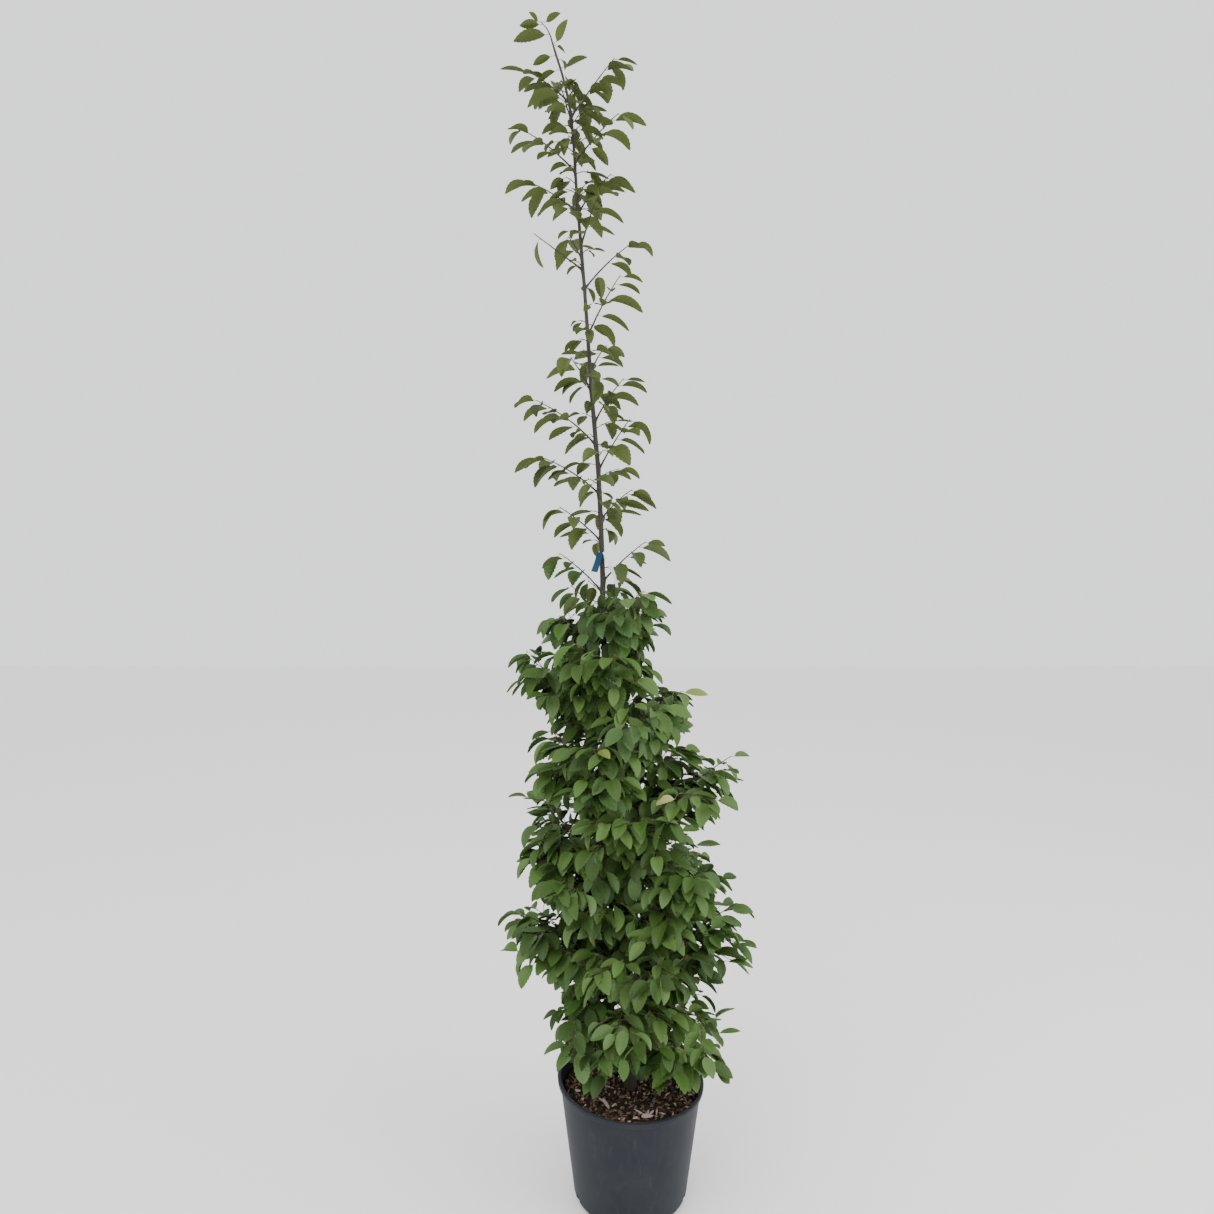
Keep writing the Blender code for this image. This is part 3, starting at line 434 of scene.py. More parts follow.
def damp_compost(soil):
    """Milled peat and bark fines: nearly black where damp, in soft crumbs of 2 mm."""
    material, add, shader, place = new_material("damp_compost", soil.mix, 0.95, 0.2)
    crumbs = add("TexNoise", {"Vector": place, "Scale": per_metre(2.5), "Detail": 5.0, "Roughness": 0.7})
    patch = add("MapRange", {"Value": crumbs, "From Min": 0.40, "From Max": 0.70})
    colour = add("Mix", {"Factor": patch, 6: (*soil.mix, 1), 7: (*soil.brown, 1)}, data_type="RGBA")
    bump = add("Bump", {"Height": crumbs, "Strength": 0.9, "Distance": 0.0016})
    set_inputs(shader, {"Base Color": colour.outputs[2], "Normal": bump})
    return material


def young_hornbeam_bark(bark):
    """Smooth living bark: grey-brown with darker patches and pale pores that run across the stem."""
    material, add, shader, place = new_material("young_hornbeam_bark", bark.bark, 0.72, 0.35)
    patches = add("TexNoise", {"Vector": place, "Scale": per_metre(28), "Detail": 4.0, "Roughness": 0.6})
    span = {"From Min": 0.30, "From Max": 0.72, "To Min": 0.70, "To Max": 1.22}
    shade = add("MapRange", {"Value": patches, **span})
    tinted = add("VectorMath", {0: bark.bark, "Scale": shade}, operation="SCALE")
    across = add("Mapping", {"Vector": place, "Scale": (0.35, 0.35, 1.0)})
    pores = add("TexVoronoi", {"Vector": across, "Scale": per_metre(3.6)})
    span = {"From Min": 0.08, "From Max": 0.22, "To Min": 0.75, "To Max": 0.0}
    pore_share = add("MapRange", {"Value": pores, **span})
    tints = {"Factor": pore_share, 6: tinted, 7: (*bark.pores, 1)}
    colour = add("Mix", tints, data_type="RGBA")
    lengthways = add("Mapping", {"Vector": place, "Scale": (1.0, 1.0, 0.12)})
    fissures = add("TexNoise", {"Vector": lengthways, "Scale": per_metre(1.8), "Detail": 3.0})
    cracks = add("Bump", {"Height": fissures, "Strength": 0.45, "Distance": 0.0007})
    bump = add("Bump", {"Height": pore_share, "Strength": 0.5, "Distance": 0.0005, "Normal": cracks})
    set_inputs(shader, {"Base Color": colour.outputs[2], "Normal": bump})
    return material


def broken_bark(name, colour, strength):
    """Pine bark broken by a mill: dull plates with a layered, fibrous face."""
    return grained(name, colour, 0.88, 0.25, 1.6, 4.0, strength, 0.0006, fineness=0.65)[0]


def first_year_skin(name, colour, roughness):
    """The thin skin of a first-year twig, a stalk or a bud: slightly glossy, with fine creases."""
    return grained(name, colour, roughness, 0.4, 1.2, 2.0, 0.3, 0.0003)[0]


def leaf_skin(name, colour, roughness, specular):
    """A leaf's waxed skin: one plain colour, slightly puckered between the veins, with an uneven shine."""
    material, add, shader, place = grained(name, colour, roughness, specular, 5, 1.0, 0.2, 0.0004, ior=1.45)
    wax = add("TexNoise", {"Vector": place, "Scale": per_metre(24), "Detail": 2.0})
    rough = add("MapRange", {"Value": wax, "To Min": roughness - 0.12, "To Max": roughness + 0.12})
    set_inputs(shader, {"Roughness": rough})
    return material


def label_film(name, colour):
    """Extruded polyester film: even colour, a soft shine, faintly creased where it was looped."""
    return grained(name, colour, 0.40, 0.3, 9, 2.0, 0.25, 0.0006, ior=1.57)[0]


def seamless_paper(stage):
    """Matt uncoated paper from a roll: pale and even, with hardly any tooth."""
    return grained("seamless_paper", stage.floor, 0.92, 0.1, 2.0, 2.0, 0.05, 0.0003)[0]


class Joined:
    """Many small closed shapes, gathered into one mesh."""

    def __init__(self):
        self.points, self.faces = [], []

    def add(self, shape):
        points, faces = shape
        low = len(self.points)
        self.points += [tuple(point) for point in points]
        self.faces += [tuple(low + corner for corner in face) for face in faces]


def piece(name, points, faces, materials, sharp=50.0, slots=None):
    """A smooth-shaded mesh object whose edges are sharp where they turn by more than an angle."""
    mesh = bpy.data.meshes.new(name)
    mesh.from_pydata(points, [], faces)
    for material in materials:
        mesh.materials.append(material)
    if slots is not None:
        mesh.polygons.foreach_set("material_index", slots)
    mesh.shade_smooth()
    mesh.set_sharp_from_angle(angle=radians(sharp))
    obj = bpy.data.objects.new(name, mesh)
    bpy.context.scene.collection.objects.link(obj)
    return obj


def stand_for(obj, nodes):
    """Lets a piece ride on the plant's body and stand for these solids, which it hides."""
    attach(obj, BODY)
    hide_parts(*nodes)


def ring_faces(rings, sides):
    """The faces between rings of points that follow one another."""
    faces = []
    for low in range(0, (rings - 1) * sides, sides):
        for k in range(sides):
            after = (k + 1) % sides
            faces.append((low + k, low + after, low + sides + after, low + sides + k))
    return faces


def arc(centre_radius, centre_height, radius, start, end, steps):
    """Points of a profile on part of a circle, from one angle to another."""
    turns = [radians(start + (end - start) * step / steps) for step in range(steps + 1)]
    return [(centre_radius + radius * cos(turn), centre_height + radius * sin(turn)) for turn in turns]


def revolved(profile, steps, shift=None):
    """The points and faces of a closed profile, from axis to axis, turned about Z.

    shift moves a ring's point: it takes the radius, the height and the angle, and returns the new radius
    and height.
    """
    points, rings = [], []
    for radius, height in profile:
        if radius < 1e-6:
            rings.append([len(points)])
            points.append((0.0, 0.0, height))
            continue
        rings.append(list(range(len(points), len(points) + steps)))
        for step in range(steps):
            turn = 2 * pi * step / steps
            far, high = shift(radius, height, turn) if shift else (radius, height)
            points.append((far * cos(turn), far * sin(turn), high))
    faces = []
    for low, high in zip(rings, rings[1:]):
        for step in range(steps):
            after = (step + 1) % steps
            if len(low) == 1:
                faces.append((low[0], high[step], high[after]))
            elif len(high) == 1:
                faces.append((low[step], high[0], low[after]))
            else:
                faces.append((low[step], high[step], high[after], low[after]))
    return points, faces


def wall_radius(pot, height):
    """The outside of the pot's wall at a height, under the lip."""
    share = (height - pot.foot_rounding) / (pot.height - pot.lip_depth - pot.foot_rounding)
    return pot.foot_radius + (pot.rim_radius - pot.lip_overhang - pot.foot_radius) * share


RIDGES = ((0.243, 0.0045, 0.0016), (0.2335, 0.0040, 0.0011))  # height, width, relief
RIDGE_ROWS = 5
WALL_ROWS = 26
SLOT_WIDTH = 0.020
SLOT_LOW = 0.004
SLOT_HIGH = 0.026
SLOT_REACH = 0.050
SLOT_FIRST_HEADING = 23.0
SLOT_ROUNDING = 0.003
LIP_ROUNDING = 0.0028
LIP_EDGE = 0.0014
FOOT_RING = 0.012  # width of the ring that the pot stands on
FOOT_RING_FOOT = 0.0145
UNDERSIDE = 0.0022  # height of the underside within the foot ring
GATE = 0.0012  # height of the moulding gate's mark in its middle
POT_STEPS = 168
POT_SHARP = 48.0


def outer_wall_heights(pot):
    """Heights from under the lip to the foot: even rows, with closer ones over each ridge."""
    top, low = pot.height - pot.lip_depth, pot.foot_rounding
    heights = {top - (top - low) * row / WALL_ROWS for row in range(1, WALL_ROWS)}
    for middle, width, _ in RIDGES:
        heights = {height for height in heights if abs(height - middle) > width}
        heights |= {middle + width * (row / RIDGE_ROWS - 0.5) * 1.6 for row in range(RIDGE_ROWS + 1)}
    return sorted(heights, reverse=True)


def ridge_relief(height, turn):
    """How far the wall stands out at a height. The two ridges fade in and out round the pot."""
    relief = 0.0
    for middle, width, depth in RIDGES:
        fade = 0.55 + 0.75 * noise.noise(Vector((cos(turn) * 1.3, sin(turn) * 1.3, middle * 90)))
        relief += depth * max(fade, 0.12) * exp(-(((height - middle) / (width * 0.45)) ** 2))
    return relief


def pot_profile(pot):
    """The pot's section: from the middle of its floor up the inside, over the lip and down the outside."""
    inside = pot.foot_radius - pot.wall
    corner = pot.foot_rounding - pot.wall
    under_lip = pot.height - pot.lip_depth
    inner_top = pot.rim_radius - pot.lip_overhang - pot.wall
    profile = [(0.0, pot.wall), (inside * 0.5, pot.wall)]
    profile += arc(inside - corner, pot.wall + corner, corner, -90, 0, 5)
    profile += [
        (inside + (inner_top - inside) * share, pot.foot_rounding + (under_lip - pot.foot_rounding) * share)
        for share in (0.2, 0.4, 0.6, 0.8, 0.9, 1.0)
    ]
    profile += arc(inner_top + LIP_ROUNDING, pot.height - LIP_ROUNDING, LIP_ROUNDING, 180, 90, 5)
    profile += arc(pot.rim_radius - LIP_ROUNDING, pot.height - LIP_ROUNDING, LIP_ROUNDING, 90, 0, 5)
    profile += [(pot.rim_radius - 0.0004, pot.height - pot.lip_depth * 0.6)]
    profile += arc(pot.rim_radius - 0.0022, under_lip + LIP_EDGE, LIP_EDGE, 0, -90, 3)
    profile += [(wall_radius(pot, under_lip) + 0.0006, under_lip)]
    profile += [(wall_radius(pot, height), height) for height in outer_wall_heights(pot)]
    profile += arc(pot.foot_radius - pot.foot_rounding, pot.foot_rounding, pot.foot_rounding, 0, -90, 9)
    ring = pot.foot_radius - pot.foot_rounding
    profile += [(ring - FOOT_RING, 0.0), (ring - FOOT_RING_FOOT, UNDERSIDE), (ring * 0.5, UNDERSIDE)]
    return profile + [(0.018, UNDERSIDE), (0.0165, GATE), (0.0, GATE)]


def make_pot(pot):
    """The container, with its warped lip, faint ridges, shallow dents and drain slots."""
    inner = pot.rim_radius - pot.lip_overhang - pot.wall - 0.001

    def shift(radius, height, turn):
        share = max(height - pot.foot_rounding, 0) / (pot.height - pot.foot_rounding)
        outer = radius > wall_radius(pot, max(height, pot.foot_rounding)) - pot.wall * 0.6
        dent = pot.dents * noise.noise(Vector((cos(turn) * 1.7, sin(turn) * 1.7, height * 9 + 3)))
        relief = ridge_relief(height, turn) if outer and height < inner else 0.0
        lifted = height + pot.warp * share**4 * -cos(turn)
        oval = 1 + 0.006 * share**2 * cos(2 * turn + 0.6)
        return (radius + relief + dent * 2 * share) * oval, lifted

    points, faces = revolved(pot_profile(pot), POT_STEPS, shift)
    obj = piece("nursery_pot", points, faces, [moulded_polypropylene(pot)], sharp=POT_SHARP)
    cutter_mesh = bpy.data.meshes.new("slot_cutters")
    shape = bmesh.new()
    for number in range(pot.slots):
        heading = radians(SLOT_FIRST_HEADING + 360 / pot.slots * number)
        height = (SLOT_LOW + SLOT_HIGH) / 2
        middle = Vector((cos(heading) * pot.foot_radius, sin(heading) * pot.foot_radius, height))
        size = Matrix.Diagonal((SLOT_REACH, SLOT_WIDTH, SLOT_HIGH - SLOT_LOW, 1))
        turn = Matrix.Translation(middle) @ Matrix.Rotation(heading, 4, "Z")
        made = bmesh.ops.create_cube(shape, size=1, matrix=turn @ size)
        along = [
            edge
            for edge in {edge for vert in made["verts"] for edge in vert.link_edges}
            if abs((edge.verts[0].co - edge.verts[1].co).dot(turn.col[0].xyz)) > SLOT_REACH / 2
        ]
        bmesh.ops.bevel(shape, geom=along, offset=SLOT_ROUNDING, segments=3, affect="EDGES")
    shape.to_mesh(cutter_mesh)
    shape.free()
    cutter = bpy.data.objects.new("slot_cutters", cutter_mesh)
    bpy.context.scene.collection.objects.link(cutter)
    cut = obj.modifiers.new("Slots", "BOOLEAN")
    cut.operation = "DIFFERENCE"
    cut.object = cutter
    apply_modifiers(obj)
    bpy.data.objects.remove(cutter)
    obj.data.set_sharp_from_angle(angle=radians(POT_SHARP))
    stand_for(obj, ["pot"])


def apply_modifiers(obj):
    """Replaces an object's mesh with what its modifiers make of it."""
    bpy.context.view_layer.update()
    graph = bpy.context.evaluated_depsgraph_get()
    mesh = bpy.data.meshes.new_from_object(obj.evaluated_get(graph))
    obj.modifiers.clear()
    obj.data = mesh


def soil_height(soil, radius, x, y):
    """The compost's surface: a low mound that falls to the wall, with soft lumps."""
    share = min(max((radius - 0.06) / 0.10, 0), 1)
    level = SOIL_TOP + (soil.edge_top - SOIL_TOP) * share
    lumps = 0.0028 * noise.noise(Vector((x * 38, y * 38, 0.3)))
    return level + lumps + 0.0014 * noise.noise(Vector((x * 130, y * 130, 4.0)))


SOIL_RINGS = 46
SOIL_STEPS = 150
SOIL_CLEARANCE = 0.0016


def make_compost(soil, pot):
    """The compost's body, which fills the pot, with a lumpy top."""
    edge = wall_radius(pot, soil.edge_top) - pot.wall - SOIL_CLEARANCE
    profile = [(0.0, SOIL_TOP)]
    profile += [(edge * (ring / SOIL_RINGS) ** 0.8, SOIL_TOP) for ring in range(1, SOIL_RINGS + 1)]
    profile += [(wall_radius(pot, height) - pot.wall - SOIL_CLEARANCE, height) for height in (0.2, 0.1, 0.05)]
    # The compost has sunk away behind the slots, so they look dark
    profile += [(pot.foot_radius - 0.030, 0.034), (pot.foot_radius - 0.036, 0.0045), (0.0, 0.0045)]

    def shift(radius, height, turn):
        if height < soil.edge_top:
            return radius, height
        return radius, soil_height(soil, radius, radius * cos(turn), radius * sin(turn))

    points, faces = revolved(profile, SOIL_STEPS, shift)
    stand_for(piece("compost", points, faces, [damp_compost(soil)], sharp=60), ["soil"])


def flake(rng, length, width, thickness):
    """A broken flake: an uneven outline with a chamfered upper and lower face."""
    corners = rng.randint(5, 8)
    turns = sorted(2 * pi * (k + rng.uniform(-0.3, 0.3)) / corners for k in range(corners))
    outline = [
        Vector((cos(t) * length / 2 * rng.uniform(0.72, 1), sin(t) * width / 2 * rng.uniform(0.66, 1), 0))
        for t in turns
    ]
    points = []
    for scale, lift in ((rng.uniform(0.6, 0.85), -0.5), (1.0, 0.0), (rng.uniform(0.55, 0.85), 0.5)):
        tilt = rng.uniform(-0.18, 0.18)
        for corner in outline:
            height = thickness * (lift + (tilt * corner.x / length if lift else 0) + rng.uniform(-0.08, 0.08))
            points.append(Vector((corner.x * scale, corner.y * scale, height)))
    faces = [tuple(range(corners))[::-1], tuple(range(2 * corners, 3 * corners))]
    return points, faces + ring_faces(3, corners)


# Each kind of flake: the ranges of its length, of its width as a share of that, of its thickness and of its
# height over the compost, and how steeply it may lie
FLAKES = {
    "bark_crumbs": ((0.004, 0.010), (0.5, 0.9), (0.002, 0.004), (0.0, 0.003), 0.5),
    "dark_flakes": ((0.009, 0.022), (0.35, 0.7), (0.002, 0.005), (0.002, 0.007), 0.35),
    "brown_flakes": ((0.007, 0.020), (0.3, 0.65), (0.0018, 0.004), (0.002, 0.006), 0.35),
    "rust_flakes": ((0.007, 0.018), (0.3, 0.6), (0.0016, 0.0035), (0.002, 0.006), 0.4),
    "straw_flakes": ((0.006, 0.016), (0.2, 0.5), (0.0015, 0.003), (0.004, 0.007), 0.4),
    "pale_slivers": ((0.006, 0.021), (0.2, 0.65), (0.0015, 0.003), (0.005, 0.008), 0.3),
}

# Broad pale chips near the front: x, y, length, width and heading
BROAD_CHIPS = (
    (-0.059, -0.071, 0.040, 0.010, 112.0),
    (-0.040, -0.074, 0.026, 0.007, 60.0),
    (-0.068, -0.060, 0.028, 0.006, 140.0),
    (0.034, -0.110, 0.034, 0.016, 10.0),
    (0.046, -0.100, 0.026, 0.010, 70.0),
    (0.016, -0.096, 0.030, 0.006, 150.0),
    (0.008, -0.120, 0.018, 0.009, 35.0),
    (0.058, -0.098, 0.026, 0.005, 85.0),
)
BROAD_CHIP_THICKNESS = 0.0022
BROAD_CHIP_LIFT = 0.0075
BROAD_CHIP_TILT = 0.16


def lay_flake(soil, joined, shape, place, heading, lift, tilt):
    """Lays one flake on the compost at a place, turned to a heading and tilted."""
    points, faces = shape
    roll = Matrix.Rotation(radians(heading), 3, "Z")
    lean = Matrix.Rotation(tilt, 3, (cos(radians(heading) * 3), sin(radians(heading) * 3), 0))
    seat = Vector((place.x, place.y, soil_height(soil, place.length, place.x, place.y) + lift))
    joined.add(([lean @ (roll @ point) + seat for point in points], faces))


def scatter(soil, pot, rng, joined, count, lengths, slimness, thickness, lift, steepness):
    """Lays flakes on the compost, tilted at random, clear of the wall and of the trunk."""
    edge = wall_radius(pot, soil.edge_top) - pot.wall - SOIL_CLEARANCE
    foot = TRUNK_FOOT_RADIUS + FLARE
    for _ in range(count):
        size = rng.uniform(*lengths)
        far = (rng.uniform((foot / edge) ** 2, 1)) ** 0.5 * (edge - size * 0.42)
        turn = rng.uniform(0, 2 * pi)
        place = Vector((far * cos(turn), far * sin(turn)))
        shape = flake(rng, size, size * rng.uniform(*slimness), rng.uniform(*thickness))
        heading = rng.uniform(0, 360)
        lay_flake(soil, joined, shape, place, heading, rng.uniform(*lift), rng.gauss(0, steepness))


def make_chips(soil, pot):
    """The mulch: dark crumbs, flakes of bark in three browns, and a few pale slivers of wood."""
    rng = Random(SEED)
    third = soil.chips // 3
    kinds = (
        ("bark_crumbs", soil.crumbs, soil.dark),
        ("dark_flakes", third, soil.dark),
        ("brown_flakes", third, soil.brown),
        ("rust_flakes", third, soil.rust),
        ("straw_flakes", third // 2, soil.straw),
        ("pale_slivers", soil.slivers, soil.pale),
    )
    for name, count, colour in kinds:
        joined = Joined()
        scatter(soil, pot, rng, joined, count, *FLAKES[name])
        if name == "pale_slivers":
            for x, y, length, width, heading in BROAD_CHIPS:
                shape = flake(rng, length, width, BROAD_CHIP_THICKNESS)
                lay_flake(soil, joined, shape, Vector((x, y)), heading, BROAD_CHIP_LIFT, BROAD_CHIP_TILT)
        material = broken_bark(f"milled_{name}", colour, 0.4 if name == "pale_slivers" else 0.8)
        obj = piece(name, joined.points, joined.faces, [material], sharp=28)
        stand_for(obj, ["soil"])


def direction(heading, rise):
    """The unit vector of a heading and a rise in degrees."""
    level = cos(radians(rise))
    return Vector((level * cos(radians(heading)), level * sin(radians(heading)), sin(radians(rise))))


@lru_cache(maxsize=4096)
def trunk_place(height):
    """The trunk's centre at a height, on a smooth line through TRUNK_LINE."""
    heights = [row[0] for row in TRUNK_LINE]
    last = len(heights) - 2
    span = max(0, min(last, sum(height > low for low in heights[1:])))
    rows = [TRUNK_LINE[max(0, min(len(heights) - 1, span + step))] for step in (-1, 0, 1, 2)]
    width = rows[2][0] - rows[1][0]
    t = (height - rows[1][0]) / width
    across = []
    for axis in (1, 2):
        before, here, there, after = (row[axis] for row in rows)
        leave = (there - before) / max(rows[2][0] - rows[0][0], 1e-6) * width
        reach = (after - here) / max(rows[3][0] - rows[1][0], 1e-6) * width
        across.append(
            here * (2 * t**3 - 3 * t**2 + 1)
            + leave * (t**3 - 2 * t**2 + t)
            + there * (3 * t**2 - 2 * t**3)
            + reach * (t**3 - t**2)
        )
    return across[0], across[1], height


def trunk_centre(height):
    return Vector(trunk_place(round(height, 5)))


def trunk_radius(height):
    """The trunk's radius: an even taper with a flare at the root."""
    foot, tip = TRUNK_LINE[0][0], TRUNK_LINE[-1][0]
    left = 1 - (height - foot) / (tip - foot)
    taper = TRUNK_TIP_RADIUS + (TRUNK_FOOT_RADIUS - TRUNK_TIP_RADIUS) * max(left, 0) ** TRUNK_TAPER
    return taper + FLARE * exp(-(height - foot) / FLARE_HEIGHT)


def shoot_line(start, heading, rise, length, bend, steps, kink=0.0):
    """Points along a shoot that leaves at a rise and bends on its way, kinked left and right."""
    points = [Vector(start)]
    for step in range(steps):
        turned = heading + kink * (-1) ** step
        points.append(points[-1] + direction(turned, rise + bend * (step + 0.5) / steps) * (length / steps))
    return points


def along(points, share):
    """The place at a share of a line's length."""
    at = share * (len(points) - 1)
    step = min(int(at), len(points) - 2)
    return points[step].lerp(points[step + 1], at - step)


def rounded(points, times=2):
    """The line with its corners cut, its ends kept."""
    for _ in range(times):
        cut = [points[0]]
        for here, there in zip(points, points[1:]):
            cut += [here.lerp(there, 0.25), here.lerp(there, 0.75)]
        points = cut + [points[-1]]
    return points


def heading_of(step):
    return degrees(atan2(step.y, step.x))


def tube(points, radii, sides, relief=None):
    """The points and faces of a closed tube on a line. relief changes a radius by point and angle."""
    count = len(points)
    tangents = [(points[min(k + 1, count - 1)] - points[max(k - 1, 0)]).normalized() for k in range(count)]
    side = tangents[0].orthogonal().normalized()
    corners = []
    for point, radius, tangent in zip(points, radii, tangents):
        side = (side - tangent * side.dot(tangent)).normalized()
        up = tangent.cross(side)
        for k in range(sides):
            turn = 2 * pi * k / sides
            outward = side * cos(turn) + up * sin(turn)
            corners.append(point + outward * (radius * (relief(point, outward) if relief else 1)))
    ends = [tuple(range(sides))[::-1], tuple(range((count - 1) * sides, count * sides))]
    return corners, ring_faces(count, sides) + ends


def tapered(foot, tip, count):
    """Radii that go evenly from a foot to a tip."""
    return [foot + (tip - foot) * k / (count - 1) for k in range(count)]


def all_limbs():
    """Every limb of the trunk, from the lowest to the highest."""
    limbs = [Limb(*row) for row in LOW_MASSES]
    limbs += [Limb(height, heading, 0.0, stem, rise, bend) for height, heading, stem, rise, bend in SHOOTS]
    return limbs


def limb_start(limb):
    """Where a limb leaves the trunk's skin."""
    foot = BOUGH_FOOT_RADIUS if limb.bough else SHOOT_FOOT_RADIUS
    outward = direction(limb.heading, 0)
    return trunk_centre(limb.height) + outward * (trunk_radius(limb.height) + foot * sin(radians(limb.rise)))


def limb_lines(limb, spacing, kink):
    """The lines of a limb's bough, or None, and of its stem, which has a node at each leaf."""
    length = limb.stem + REACH_ON.get(limb.height, 0)
    nodes = max(3, round(length / spacing))
    start = limb_start(limb)
    if not limb.bough:
        return None, shoot_line(start, limb.heading, limb.rise, length, limb.bend, nodes, kink)
    share = limb.bough / (limb.bough + limb.stem)
    bough = shoot_line(start, limb.heading, limb.rise, limb.bough, limb.bend * share, 6)
    rise = limb.rise + limb.bend * share
    stem = shoot_line(bough[-1], limb.heading, rise, length, limb.bend * (1 - share), nodes, kink)
    return bough, stem


def collar(limb, foot):
    """The swollen root of a limb, from inside the trunk to where it has the limb's own thickness."""
    ahead = direction(limb.heading, limb.rise)
    start = limb_start(limb)
    back = min(COLLAR_DEPTH, trunk_radius(limb.height) / max(cos(radians(limb.rise)), 0.3))
    shares = [k / COLLAR_RINGS for k in range(COLLAR_RINGS + 1)]
    points = [start + ahead * (share * (COLLAR_LENGTH + back) - back) for share in shares]
    radii = [foot * (COLLAR_SLIM + (COLLAR_FLARE - COLLAR_SLIM) * (1 - share) ** 1.8) for share in shares]
    return points, radii


BARK_SIDES = 26
BOUGH_SIDES = 14
SHOOT_SIDES = 8
BURIED = 0.006  # how far the trunk's mesh goes down into the compost


def make_bark(bark):
    """The trunk and its boughs, with fluting, node swellings and limb collars."""
    limbs = all_limbs()
    nodes = [(limb.height, direction(limb.heading, 0)) for limb in limbs]

    def relief(point, outward):
        broad = noise.noise(Vector((outward.x * 1.6, outward.y * 1.6, point.z * 5)))
        fine = noise.noise(Vector((outward.x * 4.5, outward.y * 4.5, point.z * 26 + 7)))
        swell = 0.0
        for height, heading in nodes:
            away = (point.z - height + 0.004) / 0.010
            if abs(away) < 3:
                swell += bark.swelling * exp(-away * away) * max(outward.dot(heading) + 0.35, 0) / 1.35
        return 1 + bark.relief * (broad + 0.6 * fine) + swell

    foot, tip = TRUNK_LINE[0][0] - BURIED, TRUNK_LINE[-1][0]
    rings = int((tip - foot) / bark.ring_step)
    heights = [foot + (tip - foot) * k / rings for k in range(rings + 1)]
    joined = Joined()
    radii = [trunk_radius(max(height, TRUNK_LINE[0][0])) for height in heights]
    joined.add(tube([trunk_centre(height) for height in heights], radii, BARK_SIDES, relief))
    for limb in limbs:
        thick = BOUGH_FOOT_RADIUS if limb.bough else SHOOT_FOOT_RADIUS
        points, radii = collar(limb, thick)
        joined.add(tube(points, radii, BOUGH_SIDES if limb.bough else SHOOT_SIDES))
        if limb.bough:
            line = rounded(limb_lines(limb, 0.025, 0)[0])
            radii = tapered(BOUGH_FOOT_RADIUS, BOUGH_TIP_RADIUS, len(line))
            joined.add(tube(line, radii, BOUGH_SIDES, relief))
    obj = piece("hornbeam_bark", joined.points, joined.faces, [young_hornbeam_bark(bark)], sharp=60)
    boughs = [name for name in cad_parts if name.startswith("bough_")]
    stand_for(obj, ["trunk"] + boughs)


Leaf = namedtuple("Leaf", "node root turn length variant spray high")
Twig = namedtuple("Twig", "line foot tip")

LEAF_SAMPLES = 5
LEAF_TRIES = 6
PLACED_WANDER = 0.25
LEADER_FADE = 0.16
CONE_EDGE = 0.20
POT_CLEARANCE = 0.006
TRUNK_CLEARANCE = 0.003
LOWEST_LEAF = 0.255  # beside the pot
REACH_ROOM = 0.008
CROWD = 0.007


def leaf_turn(heading, droop, roll):
    """The rotation of a blade: x along it, y to its left, z out of its upper side."""
    ahead = direction(heading, -droop)
    side = Vector((-sin(radians(heading)), cos(radians(heading)), 0))
    up = ahead.cross(side)
    spin = Matrix.Rotation(radians(roll), 3, ahead)
    return Matrix((ahead, spin @ side, spin @ up)).transposed()


